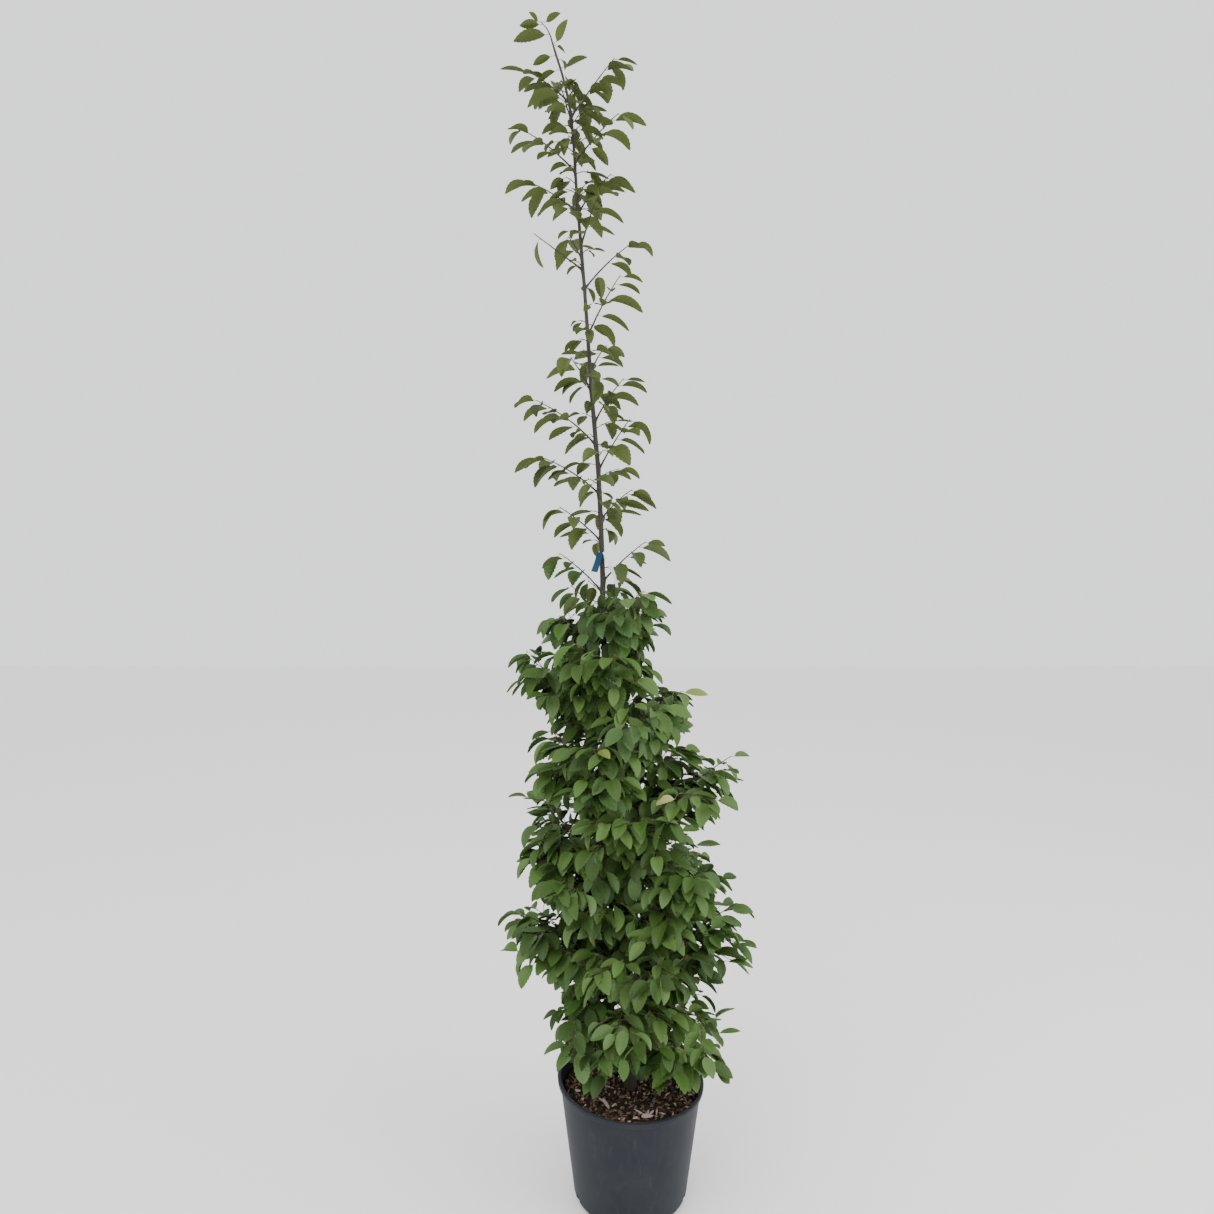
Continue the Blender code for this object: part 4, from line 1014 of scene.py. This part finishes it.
class Crown:
    """The twigs and leaves that have grown so far."""

    def __init__(self, leaf, pot):
        self.leaf = leaf
        self.pot = pot
        self.twigs = []
        self.leaves = []
        self.places = np.full((20000, 3), 1e3)
        self.used = 0
        self.spray = 0

    def leader_share(self, height):
        """0 in the dense cone, 1 on the leader, and between them where one goes over into the other."""
        return min(max((height - self.leaf.dense_top) / LEADER_FADE, 0), 1)

    def droop_at(self, node):
        """How far a leaf hangs: much near the trunk, less at the cone's edge, little on the leader."""
        centre = trunk_centre(min(node.z, TRUNK_LINE[-1][0]))
        edge = min(hypot(node.x - centre.x, node.y - centre.y) / CONE_EDGE, 1)
        low = self.leaf.low_droop + (self.leaf.edge_droop - self.leaf.low_droop) * edge
        return degrees(low + (self.leaf.high_droop - low) * self.leader_share(node.z))

    def length_at(self, height):
        low, high = self.leaf.low_length, self.leaf.high_length
        return low + (high - low) * self.leader_share(height)

    def samples(self, root, turn, length):
        """Places on a blade: its tip, its middle and its two sides."""
        half = self.leaf.width * length / 2
        widest = length * 0.42
        local = ((length, 0), (length * 0.72, 0), (widest, half), (widest, -half), (length * 0.2, 0))
        ahead, side = turn.col[0], turn.col[1]
        return np.array([root + ahead * x + side * y for x, y in local])

    def keeps_clear(self, places):
        """Whether a blade stays within the solids' reach, out of the pot and the soil and off the trunk."""
        low, high = CAD_BOX
        for x, y, z in places:
            if not all(low[k] - REACH_ROOM < at < high[k] + REACH_ROOM for k, at in ((0, x), (1, y))):
                return False
            over_pot = hypot(x, y) < self.pot.rim_radius + POT_CLEARANCE
            if z < (self.pot.height - 0.004 if over_pot else LOWEST_LEAF) + POT_CLEARANCE:
                return False
            if z < TRUNK_LINE[-1][0]:
                centre = trunk_centre(z)
                if hypot(x - centre.x, y - centre.y) < trunk_radius(z) + TRUNK_CLEARANCE:
                    return False
        return True

    def add_leaf(self, node, heading, side, size, rng, droop=None, roll=0.0):
        """Grows the leaf at a node in the most open of a few poses."""
        best, best_room = None, CROWD
        loose = 1 - 0.3 * self.leader_share(node.z)
        hang = self.droop_at(node) if droop is None else droop
        for attempt in range(LEAF_TRIES):
            wander = (15 + 5 * attempt) * loose * (1 if droop is None else PLACED_WANDER)
            turned = heading + side * degrees(self.leaf.splay) + rng.uniform(-1, 1) * wander
            drop = hang + rng.uniform(-1, 1) * wander
            spread = (0.70, 1.15) if droop is None else (0.97, 1.03)
            length = self.length_at(node.z) * size * rng.uniform(*spread)
            lean = rng.gauss(0, 20 * loose) * (1 if droop is None else PLACED_WANDER)
            turn = leaf_turn(turned, drop, roll + lean)
            root = node + direction(turned, -drop * 0.5) * self.leaf.stalk
            places = self.samples(root, turn, length)
            if not self.keeps_clear(places):
                continue
            gaps = self.places[: self.used][None] - places[:, None]
            room = np.sqrt((gaps * gaps).sum(axis=2).min()) if self.used else 1.0
            if room > best_room:
                best, best_room = (root, turn, length, places), room
        if best is None:
            return False
        root, turn, length, places = best
        self.places[self.used : self.used + LEAF_SAMPLES] = places
        self.used += LEAF_SAMPLES
        high = node.z > self.leaf.dense_top + rng.uniform(-0.04, 0.12)
        variant = rng.randrange(len(BLADE_FORMS) // 2) + (len(BLADE_FORMS) // 2 if high else 0)
        if roll:
            variant = FLAT_FORM
        self.leaves.append(Leaf(node, root, turn, length, variant, self.spray, high))
        return True

    def leafy(self, line, first, rng, sizes=(0.8, 1.0), kept=1.0):
        """Leaves at each node of a line from a share of its length on, by turns left and right."""
        for index in range(1, len(line)):
            share = index / (len(line) - 1)
            last = index == len(line) - 1
            if share < first or (not last and rng.random() > kept):
                continue
            step = line[index] - line[index - 1]
            side = 0 if last else (-1) ** index
            swell = sizes[0] + (sizes[1] - sizes[0]) * sin(pi * min(share * 0.75 + 0.15, 1))
            self.add_leaf(line[index], heading_of(step), side, swell, rng)


SKIRT_TOP = 0.45  # the limbs under this height hang over the pot and have short twigs
SPIRE = 1.30  # the limbs over this height, under the leader, have short twigs too
SKIRT_TWIGS = 0.62
SPIRE_TWIGS = 0.70
FULL_LIMB = 0.24  # limbs shorter than this have shorter twigs
TWIGGED = 0.88  # the share of a stem, from its foot, that has twigs
TWIGGED_ON_BOUGH = 0.66  # the same where the stem goes on from a bough
SPARSE_SHOOTS = (2.10, 2.28)  # the shoots between these heights lack some of their leaves
SPARSE_SHARE = 0.62
TWIG_SPLAY = 48.0
TWIG_DROP = 14.0
TWIG_BEND = -24.0
KINK = 7.0


def grow_mass(crown, limb, stem, rng):
    """A low mass: side twigs from each node of the stem, finer ones from those, and leaves on all."""
    leaf = crown.leaf
    last = len(stem) - 1
    reach = TWIGGED_ON_BOUGH if limb.bough else TWIGGED
    slim = SKIRT_TWIGS if limb.height < SKIRT_TOP else SPIRE_TWIGS if limb.height > SPIRE else 1
    fit = min((limb.bough + limb.stem) / FULL_LIMB, 1) * slim
    for index in range(1, last):
        share = index / last
        if share > reach:
            continue
        crown.spray += 1
        side = (-1) ** (index + 1)
        splay = side * (TWIG_SPLAY + rng.uniform(-18, 18))
        length = leaf.twig_length * (1.1 - 0.55 * share) * rng.uniform(0.8, 1.12) * fit
        rise = limb.rise + limb.bend * share - TWIG_DROP + rng.uniform(-20, 26)
        nodes = max(3, round(length / leaf.spacing))
        twig = shoot_line(stem[index], limb.heading + splay, rise, length, TWIG_BEND, nodes, KINK)
        crown.twigs.append(Twig(twig, TWIG_FOOT_RADIUS, TWIG_TIP_RADIUS))
        crown.leafy(twig, 0.15, rng)
        grow_fine(crown, twig, rise, length, rng)
    crown.spray += 1
    crown.leafy(stem, 0.12, rng)


def grow_fine(crown, twig, rise, length, rng):
    """The finest twigs, from every second node of a twig."""
    for number in range(2, len(twig) - 1, 2):
        if rng.random() > 0.9:
            continue
        turned = heading_of(twig[number] - twig[number - 1]) + (-1) ** (number // 2) * rng.uniform(35, 60)
        short = length * rng.uniform(0.3, 0.5)
        fine = shoot_line(twig[number], turned, rise - 12, short, -18, max(2, round(short / 0.022)), KINK)
        crown.twigs.append(Twig(fine, TWIG_FOOT_RADIUS * 0.75, TWIG_TIP_RADIUS))
        crown.leafy(fine, 0.2, rng, sizes=(0.75, 0.92))


def grow_crown(leaf, pot):
    """All twigs and leaves, from the lowest mass to the leader's tip."""
    crown = Crown(leaf, pot)
    for number, limb in enumerate(all_limbs()):
        rng = Random(SEED * 1000 + number)
        low = number < len(LOW_MASSES)
        stem = limb_lines(limb, leaf.spacing if low else leaf.high_spacing, KINK)[1]
        foot = BOUGH_TIP_RADIUS if limb.bough else SHOOT_FOOT_RADIUS
        crown.twigs.append(Twig(stem, foot, STEM_TIP_RADIUS))
        crown.spray += 1
        if low:
            grow_mass(crown, limb, stem, rng)
        elif limb.height == BARE_SHOOT:
            crown.add_leaf(along(stem, 0.88), limb.heading, 0, 0.85, rng, droop=86)
        else:
            sparse = SPARSE_SHOOTS[0] < limb.height < SPARSE_SHOOTS[1]
            crown.leafy(stem, 0.16, rng, sizes=(0.84, 1.08), kept=SPARSE_SHARE if sparse else 1)
    grow_leader(crown)
    return crown


def grow_leader(crown):
    """The leader's tip, with its leaves, and the spurs on the trunk's own nodes."""
    rng = Random(SEED * 1000 + 999)
    heading, stem, rise, bend = LEADER
    top = trunk_centre(TRUNK_LINE[-1][0])
    upward = (top - trunk_centre(TRUNK_LINE[-1][0] - 0.03)).normalized()
    nodes = max(3, round(stem / crown.leaf.high_spacing))
    line = [top, top + upward * LEADER_STRAIGHT]
    line += shoot_line(line[-1], heading, rise, stem, bend, nodes, KINK)[1:]
    crown.spray += 1
    crown.twigs.append(Twig(line, TRUNK_TIP_RADIUS, TWIG_TIP_RADIUS))
    for share, turned, droop, size, roll in TIP_LEAVES:
        crown.add_leaf(along(line, share), turned, 0, size, rng, droop, roll)
    for height, turned, droop, size, roll in TOP_LEAVES:
        node = trunk_centre(height) + direction(turned, 0) * trunk_radius(height)
        crown.add_leaf(node, turned, 0, size, rng, droop, roll)
    ends = [row[0] for row in SPUR_STRETCHES[1:]] + [SPUR_TOP]
    turned = 20.0
    for number, (row, end) in enumerate(zip(SPUR_STRETCHES, ends)):
        height, spacing, least, greatest, leaf_spacing, size = row
        rng = Random(SEED * 1000 + 900 + number)
        while height < end:
            length = rng.uniform(least, greatest)
            if height < LOW_SPURS:
                length *= 1 + LOW_LEAN * cos(radians(turned))
            grow_spur(crown, height, turned, length, leaf_spacing, size, rng)
            height += spacing * rng.uniform(0.75, 1.3)
            turned += SPUR_TURN + rng.uniform(-20, 20)


def grow_spur(crown, height, heading, length, spacing, size, rng):
    """A side shoot of the trunk, with a leaf at each of its nodes."""
    crown.spray += 1
    start = trunk_centre(height) + direction(heading, 0) * trunk_radius(height) * 0.9
    rise = rng.uniform(0, 42) if height < LOW_SPURS else rng.uniform(20, 60)
    line = shoot_line(start, heading, rise, length, -24, max(2, round(length / spacing)), KINK)
    crown.twigs.append(Twig(line, TWIG_FOOT_RADIUS, STEM_TIP_RADIUS))
    crown.leafy(line, 0.2, rng, sizes=(0.62 * size, 0.95 * size))
    if length > LONG_SPUR:
        grow_fine(crown, line, rise, length * 0.8, rng)


# Forms of a blade: how far it arches, how far its halves fold up, how far it twists, in degrees, and how
# deep it is pleated. The first half are for the dense cone, and the rest for the leader.
BLADE_FORMS = (
    (26, 18, 5, 0.036),
    (40, 24, -8, 0.034),
    (14, 12, 9, 0.032),
    (54, 28, 3, 0.036),
    (34, 30, 6, 0.016),
    (46, 34, -8, 0.016),
    (20, 16, 6, 0.018),
    (40, 24, -4, 0.016),
)
FLAT_FORM = 6
VEINS = 7
BLADE_ROWS = 2 * VEINS
TOOTH = 0.042
BLADE_THICKNESS = 0.006
RIB_DEPTH = 0.014
RIB_THICKNESS = 0.014
BASE_FULLNESS = 0.74
TIP_FULLNESS = 0.88
COLUMNS = 8  # five on the upper side, from left to right, and three on the lower


def half_width(share):
    """The half-width of a blade along its margin, as a share of its greatest."""
    widest = BASE_FULLNESS / (BASE_FULLNESS + TIP_FULLNESS)
    peak = widest**BASE_FULLNESS * (1 - widest) ** TIP_FULLNESS
    return share**BASE_FULLNESS * (1 - share) ** TIP_FULLNESS / peak


def blade_points(width, arch, fold, twist, depth):
    """The points of a blade of length 1: pleated between its veins, toothed, folded, arched and twisted."""
    flat = [(0.0, 0.0, 0.0), (1.0, 0.0, 0.0)]
    for row in range(1, BLADE_ROWS):
        share = row / BLADE_ROWS
        middle, margin = 0.97 * share**1.08, share**0.68
        vein = row % 2
        out = half_width(margin) * width / 2 * (1 + TOOTH if vein else 1 - TOOTH)
        ahead = margin + (0.012 if vein else -0.010)
        pleat = depth * (-1 if vein else 1) * sin(pi * share) ** 0.6
        between = middle + (margin - middle) * 0.46
        wave = 0.35 * pleat
        flat += [
            (ahead, out, wave),
            (between, out * 0.52, pleat),
            (middle, 0.0, -RIB_DEPTH),
            (between, -out * 0.52, pleat),
            (ahead, -out, wave),
            (between, out * 0.52, pleat - BLADE_THICKNESS),
            (middle, 0.0, -RIB_DEPTH - RIB_THICKNESS),
            (between, -out * 0.52, pleat - BLADE_THICKNESS),
        ]
    points = []
    for x, y, z in flat:
        z += abs(y) * tan(radians(fold)) + 0.010 * sin(9 * x + 2) * y / width
        spin = radians(twist) * x
        y, z = y * cos(spin) - z * sin(spin), y * sin(spin) + z * cos(spin)
        bend = radians(arch)
        turn = bend * x
        points.append((sin(turn) / bend + z * sin(turn), y, z * cos(turn) - (1 - cos(turn)) / bend))
    return np.array(points)


def blade_faces():
    """The triangles of a blade's upper side and of its lower side."""

    def upper(row, column):
        return 2 + (row - 1) * COLUMNS + column

    def lower(row, column):
        return upper(row, column) if column in (0, 4) else 2 + (row - 1) * COLUMNS + 4 + column

    sides = []
    for place, flip in ((upper, False), (lower, True)):
        faces = []
        for column in range(4):
            faces.append((0, place(1, column + 1), place(1, column)))
            faces.append((1, place(BLADE_ROWS - 1, column), place(BLADE_ROWS - 1, column + 1)))
            for row in range(1, BLADE_ROWS - 1):
                low, low_next = place(row, column), place(row, column + 1)
                high, high_next = place(row + 1, column), place(row + 1, column + 1)
                faces += [(low, low_next, high_next), (low, high_next, high)]
        sides.append([face[::-1] for face in faces] if flip else faces)
    return sides


def blades(name, leaves, forms, sides, materials):
    """All the blades of one tone, as one mesh with an upper and a lower material."""
    each = len(forms[0])
    points = np.concatenate(
        [forms[leaf.variant] @ np.array(leaf.turn).T * leaf.length + np.array(leaf.root) for leaf in leaves]
    )
    template = np.array(sides[0] + sides[1])
    faces = (template[None] + (np.arange(len(leaves)) * each)[:, None, None]).reshape(-1, 3)
    slots = np.tile([0] * len(sides[0]) + [1] * len(sides[1]), len(leaves))
    return piece(name, points, faces, materials, sharp=78, slots=slots)


STALK_RADII = (0.0008, 0.0007, 0.0006, 0.0004)
BUD_SHARES = (0, 0.3, 0.7, 1)
BUD_RADII = (0.0006, 0.0011, 0.0008, 0.0001)


def stalk(leaf):
    """A leaf's stalk, from its node on the twig to a little way along the rib."""
    end = leaf.root + leaf.turn.col[0] * 0.003
    sag = (leaf.node + leaf.root) / 2 + Vector((0, 0, 0.0012))
    return tube([leaf.node, sag, leaf.root, end], STALK_RADII, 3)


def bud(place, ahead, size):
    """A slim pointed bud."""
    return tube([place + ahead * size * share for share in BUD_SHARES], BUD_RADII, 5)


THICK_TWIG = 0.0015
END_BUD = 0.006
SIDE_BUD = 0.0048
OWN_TONE = 0.83  # the share of leaves in their spray's tone; one in six takes another


def make_twigs(crown, bark):
    """The stems, twigs and buds."""
    stems, twigs, buds = Joined(), Joined(), Joined()
    for twig in crown.twigs:
        thick = twig.foot > THICK_TWIG
        line = rounded(twig.line, 1)
        radii = tapered(twig.foot, twig.tip, len(line))
        (stems if thick else twigs).add(tube(line, radii, 7 if thick else 4))
        ahead = (twig.line[-1] - twig.line[-2]).normalized()
        buds.add(bud(twig.line[-1], ahead, END_BUD))
        for index in range(1, len(twig.line) - 1, 1 if thick else 2):
            step = (twig.line[index] - twig.line[index - 1]).normalized()
            out = (step + direction(heading_of(step) + 70 * (-1) ** index, 25) * 0.5).normalized()
            buds.add(bud(twig.line[index], out, SIDE_BUD))
    masses = [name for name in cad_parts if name.startswith(("low_mass", "side_shoot", "leader"))]
    parts = (
        ("stems", stems, young_hornbeam_bark(bark)),
        ("twigs", twigs, first_year_skin("first_year_twig", bark.shoot, 0.55)),
        ("buds", buds, first_year_skin("bud_scales", bark.bud, 0.45)),
    )
    for name, joined, material in parts:
        obj = piece(name, joined.points, joined.faces, [material], sharp=70)
        stand_for(obj, masses)


def nearest(leaves, place):
    """The leaf whose node is nearest to a place."""
    return min(leaves, key=lambda grown: (grown.node - Vector(place)).length)


def make_leaves(crown, leaf):
    """Every blade, gathered by tone, and the stalks."""
    half = len(BLADE_FORMS) // 2
    forms = [blade_points(leaf.width, *form) for form in BLADE_FORMS[:half]]
    forms += [blade_points(leaf.high_width, *form) for form in BLADE_FORMS[half:]]
    sides = blade_faces()
    young = [nearest(crown.leaves, place) for place in YOUNG_PLACES]
    fallen = nearest(crown.leaves, WITHERED_PLACE)
    turn = leaf_turn(WITHERED_HEADING, WITHERED_DROOP, WITHERED_ROLL)
    hung = fallen.node + turn.col[0] * leaf.stalk * 0.6 - Vector((0, 0, WITHERED_SAG))
    withered = fallen._replace(turn=turn, root=hung, length=WITHERED_LENGTH)
    special = {id(grown) for grown in young + [fallen]}
    plain = [grown for grown in crown.leaves if id(grown) not in special]
    rng = Random(SEED + 5)
    low_nodes = [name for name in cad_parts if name.startswith("low_mass")]
    high_nodes = [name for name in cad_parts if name.startswith(("side_shoot", "leader"))]
    for high, tones, below, nodes, slot in (
        (False, leaf.low_tones, leaf.underside, low_nodes, "low_leaves"),
        (True, leaf.high_tones, leaf.high_underside, high_nodes, "shoot_leaves"),
    ):
        under = leaf_skin(f"{slot}_underside", below, 0.70, 0.2)
        codes = tones.split()
        dealt = [rng.randrange(len(codes)) for _ in range(crown.spray + 1)]
        groups = [[] for _ in codes]
        for grown in plain:
            if grown.high == high:
                tone = dealt[grown.spray] if rng.random() < OWN_TONE else rng.randrange(len(codes))
                groups[tone].append(grown)
        for number, (code, group) in enumerate(zip(codes, groups), 1):
            name = f"{'leader' if high else 'cone'}_leaves_{number}"
            upper = leaf_skin(f"hornbeam_{name}", linear(code), 0.56, 0.35)
            stand_for(blades(name, group, forms, sides, [upper, under]), nodes)
    lime = leaf_skin("young_hornbeam_leaf", leaf.lime, 0.50, 0.4)
    dead = leaf_skin("withered_hornbeam_leaf", leaf.tan, 0.8, 0.2)
    for name, group, skin in (("young_leaves", young, lime), ("withered_leaf", [withered], dead)):
        stand_for(blades(name, group, forms, sides, [skin, skin]), low_nodes)
    stalks = Joined()
    for grown in plain + young + [withered]:
        stalks.add(stalk(grown))
    skin = first_year_skin("leaf_stalk", leaf.stalk_colour, 0.5)
    obj = piece("leaf_stalks", stalks.points, stalks.faces, [skin], sharp=70)
    stand_for(obj, low_nodes + high_nodes)


def strip(line, ups, width, thickness):
    """A flat strip on a line: ups gives the direction across its width at each point."""
    count = len(line)
    points = []
    for index, (point, across) in enumerate(zip(line, ups)):
        ahead = (line[min(index + 1, count - 1)] - line[max(index - 1, 0)]).normalized()
        across = (across - ahead * across.dot(ahead)).normalized()
        normal = ahead.cross(across)
        for half, lift in ((-0.5, -0.5), (0.5, -0.5), (0.5, 0.5), (-0.5, 0.5)):
            points.append(point + across * (half * width) + normal * (lift * thickness))
    last = 4 * (count - 1)
    return points, ring_faces(count, 4) + [(3, 2, 1, 0), (last, last + 1, last + 2, last + 3)]


# The label's loose ends: heading, length, width, how far they hang out, how far they curl
BLUE_END = (236.0, 0.050, 0.016, 26.0, 16.0)
WHITE_END = (318.0, 0.088, 0.014, 30.0, -22.0)


def loose_end(start, heading, length, width, tilt, curl, thickness):
    """A strip that hangs from the loop and curls on its way."""
    steps = 14
    line = [start]
    for step in range(steps):
        rise = -90 + tilt + curl * (step / steps - 0.3)
        line.append(line[-1] + direction(heading, rise) * (length / steps))
    across = direction(heading + 90, 0)
    turn = radians(20)
    ups = [Matrix.Rotation(turn * step / steps, 3, "Z") @ across for step in range(steps + 1)]
    return strip(line, ups, width, thickness)


def make_label(label):
    """A plain film looped round the trunk, blue on one end and white on the other, with nothing printed."""
    centre = trunk_centre(label.height)
    radius = trunk_radius(label.height) + 0.0012
    lean = (trunk_centre(label.height + 0.02) - trunk_centre(label.height - 0.02)).normalized()
    turns = [radians(BLUE_END[0] - 10 - 285 * k / 30) for k in range(31)]
    loop = [centre + Vector((cos(t), sin(t), 0)) * (radius + 0.0009 * k / 30) for k, t in enumerate(turns)]
    blue, white = Joined(), Joined()
    white.add(strip(loop, [lean] * len(loop), label.width, label.film))
    for joined, (heading, length, width, tilt, curl) in ((blue, BLUE_END), (white, WHITE_END)):
        start = centre + direction(heading, 0) * (radius + label.film) + lean * (label.width * 0.42)
        joined.add(loose_end(start, heading, length, width, tilt, curl, label.film))
    for name, joined, colour in (("label_blue_end", blue, label.blue), ("label_loop", white, label.white)):
        obj = piece(name, joined.points, joined.faces, [label_film(f"polyester_{name}", colour)], sharp=40)
        stand_for(obj, ["label"])


def aimed(name, light, place, target):
    """A lamp at a place that looks at a target."""
    obj = bpy.data.objects.new(name, light)
    obj.location = place
    obj.rotation_euler = (Vector(target) - Vector(place)).to_track_quat("-Z", "Y").to_euler()
    bpy.context.scene.collection.objects.link(obj)
    return obj


def make_stage(stage):
    """A pale floor and surround, two large soft lamps, and the camera at the photograph's place."""
    half = stage.floor_size / 2
    corners = [(-half, -half, 0), (half, -half, 0), (half, half, 0), (-half, half, 0)]
    floor = piece("floor", corners, [(0, 1, 2, 3)], [seamless_paper(stage)])
    floor.location.z = -0.0004

    world = bpy.data.worlds.new("pale_surround")
    world.use_nodes = True
    background = world.node_tree.nodes["Background"]
    background.inputs["Color"].default_value = (*stage.surround, 1)
    background.inputs["Strength"].default_value = stage.sky
    bpy.context.scene.world = world

    for name, power, size, place in (
        ("key_lamp", stage.key, 3.2, (-1.6, -2.4, 4.6)),
        ("fill_lamp", stage.fill, 2.6, (2.6, -1.2, 2.6)),
    ):
        light = bpy.data.lights.new(name, "AREA")
        light.energy = power
        light.size = size
        aimed(name, light, place, (0, 0, 1.1))

    camera = bpy.data.cameras.new("camera")
    camera.lens = CAMERA_LENS
    camera.sensor_width = CAMERA_SENSOR
    eye = bpy.data.objects.new("camera", camera)
    eye.location = CAMERA_PLACE
    eye.rotation_euler = (radians(90 - CAMERA_PITCH), 0, 0)
    bpy.context.scene.collection.objects.link(eye)
    bpy.context.scene.camera = eye


class HORNBEAM_OT_stage(bpy.types.Operator):
    """Set the pale floor, the surround, the lamps and the camera"""

    bl_idname = "hornbeam.stage"
    bl_label = "Stage"

    def execute(self, context):
        make_stage(context.scene.hornbeam_stage)
        return {"FINISHED"}


class HORNBEAM_OT_pot(bpy.types.Operator):
    """Make the moulded nursery pot"""

    bl_idname = "hornbeam.pot"
    bl_label = "Pot"

    def execute(self, context):
        make_pot(context.scene.hornbeam_pot)
        return {"FINISHED"}


class HORNBEAM_OT_mulch(bpy.types.Operator):
    """Fill the pot with compost and lay the bark mulch on it"""

    bl_idname = "hornbeam.mulch"
    bl_label = "Compost and mulch"

    def execute(self, context):
        make_compost(context.scene.hornbeam_mulch, context.scene.hornbeam_pot)
        make_chips(context.scene.hornbeam_mulch, context.scene.hornbeam_pot)
        return {"FINISHED"}


class HORNBEAM_OT_bark(bpy.types.Operator):
    """Make the trunk and the boughs with their relief"""

    bl_idname = "hornbeam.bark"
    bl_label = "Trunk and boughs"

    def execute(self, context):
        make_bark(context.scene.hornbeam_bark)
        return {"FINISHED"}


class HORNBEAM_OT_foliage(bpy.types.Operator):
    """Grow the twigs and the leaves on the limbs"""

    bl_idname = "hornbeam.foliage"
    bl_label = "Twigs and leaves"

    def execute(self, context):
        crown = grow_crown(context.scene.hornbeam_foliage, context.scene.hornbeam_pot)
        make_twigs(crown, context.scene.hornbeam_bark)
        make_leaves(crown, context.scene.hornbeam_foliage)
        return {"FINISHED"}


class HORNBEAM_OT_label(bpy.types.Operator):
    """Loop the plain label round the trunk"""

    bl_idname = "hornbeam.label"
    bl_label = "Label"

    def execute(self, context):
        make_label(context.scene.hornbeam_label)
        return {"FINISHED"}


class HORNBEAM_PT_panel(bpy.types.Panel):
    """The operators of the potted hornbeam, with their settings"""

    bl_idname = "HORNBEAM_PT_panel"
    bl_label = "Potted hornbeam"
    bl_space_type = "VIEW_3D"
    bl_region_type = "UI"
    bl_category = "Hornbeam"

    def draw(self, context):
        for name in SETTINGS:
            box = self.layout.box()
            box.operator(f"hornbeam.{name}")
            settings = getattr(context.scene, f"hornbeam_{name}")
            for field in settings.__annotations__:
                box.prop(settings, field)


# The settings of each operator, by the operator's name
SETTINGS = {
    "stage": StageSettings,
    "pot": PotSettings,
    "mulch": SoilSettings,
    "bark": BarkSettings,
    "foliage": LeafSettings,
    "label": LabelSettings,
}
CLASSES = (
    *SETTINGS.values(),
    HORNBEAM_OT_stage,
    HORNBEAM_OT_pot,
    HORNBEAM_OT_mulch,
    HORNBEAM_OT_bark,
    HORNBEAM_OT_foliage,
    HORNBEAM_OT_label,
    HORNBEAM_PT_panel,
)


def register():
    for item in CLASSES:
        bpy.utils.register_class(item)
    for name, group in SETTINGS.items():
        setattr(bpy.types.Scene, f"hornbeam_{name}", PointerProperty(type=group))


def unregister():
    for name in SETTINGS:
        delattr(bpy.types.Scene, f"hornbeam_{name}")
    for item in reversed(CLASSES):
        bpy.utils.unregister_class(item)


def main():
    """Makes every piece in order."""
    register()
    bpy.ops.hornbeam.stage()
    bpy.ops.hornbeam.pot()
    bpy.ops.hornbeam.mulch()
    bpy.ops.hornbeam.bark()
    bpy.ops.hornbeam.foliage()
    bpy.ops.hornbeam.label()


if __name__ == "__main__":
    main()
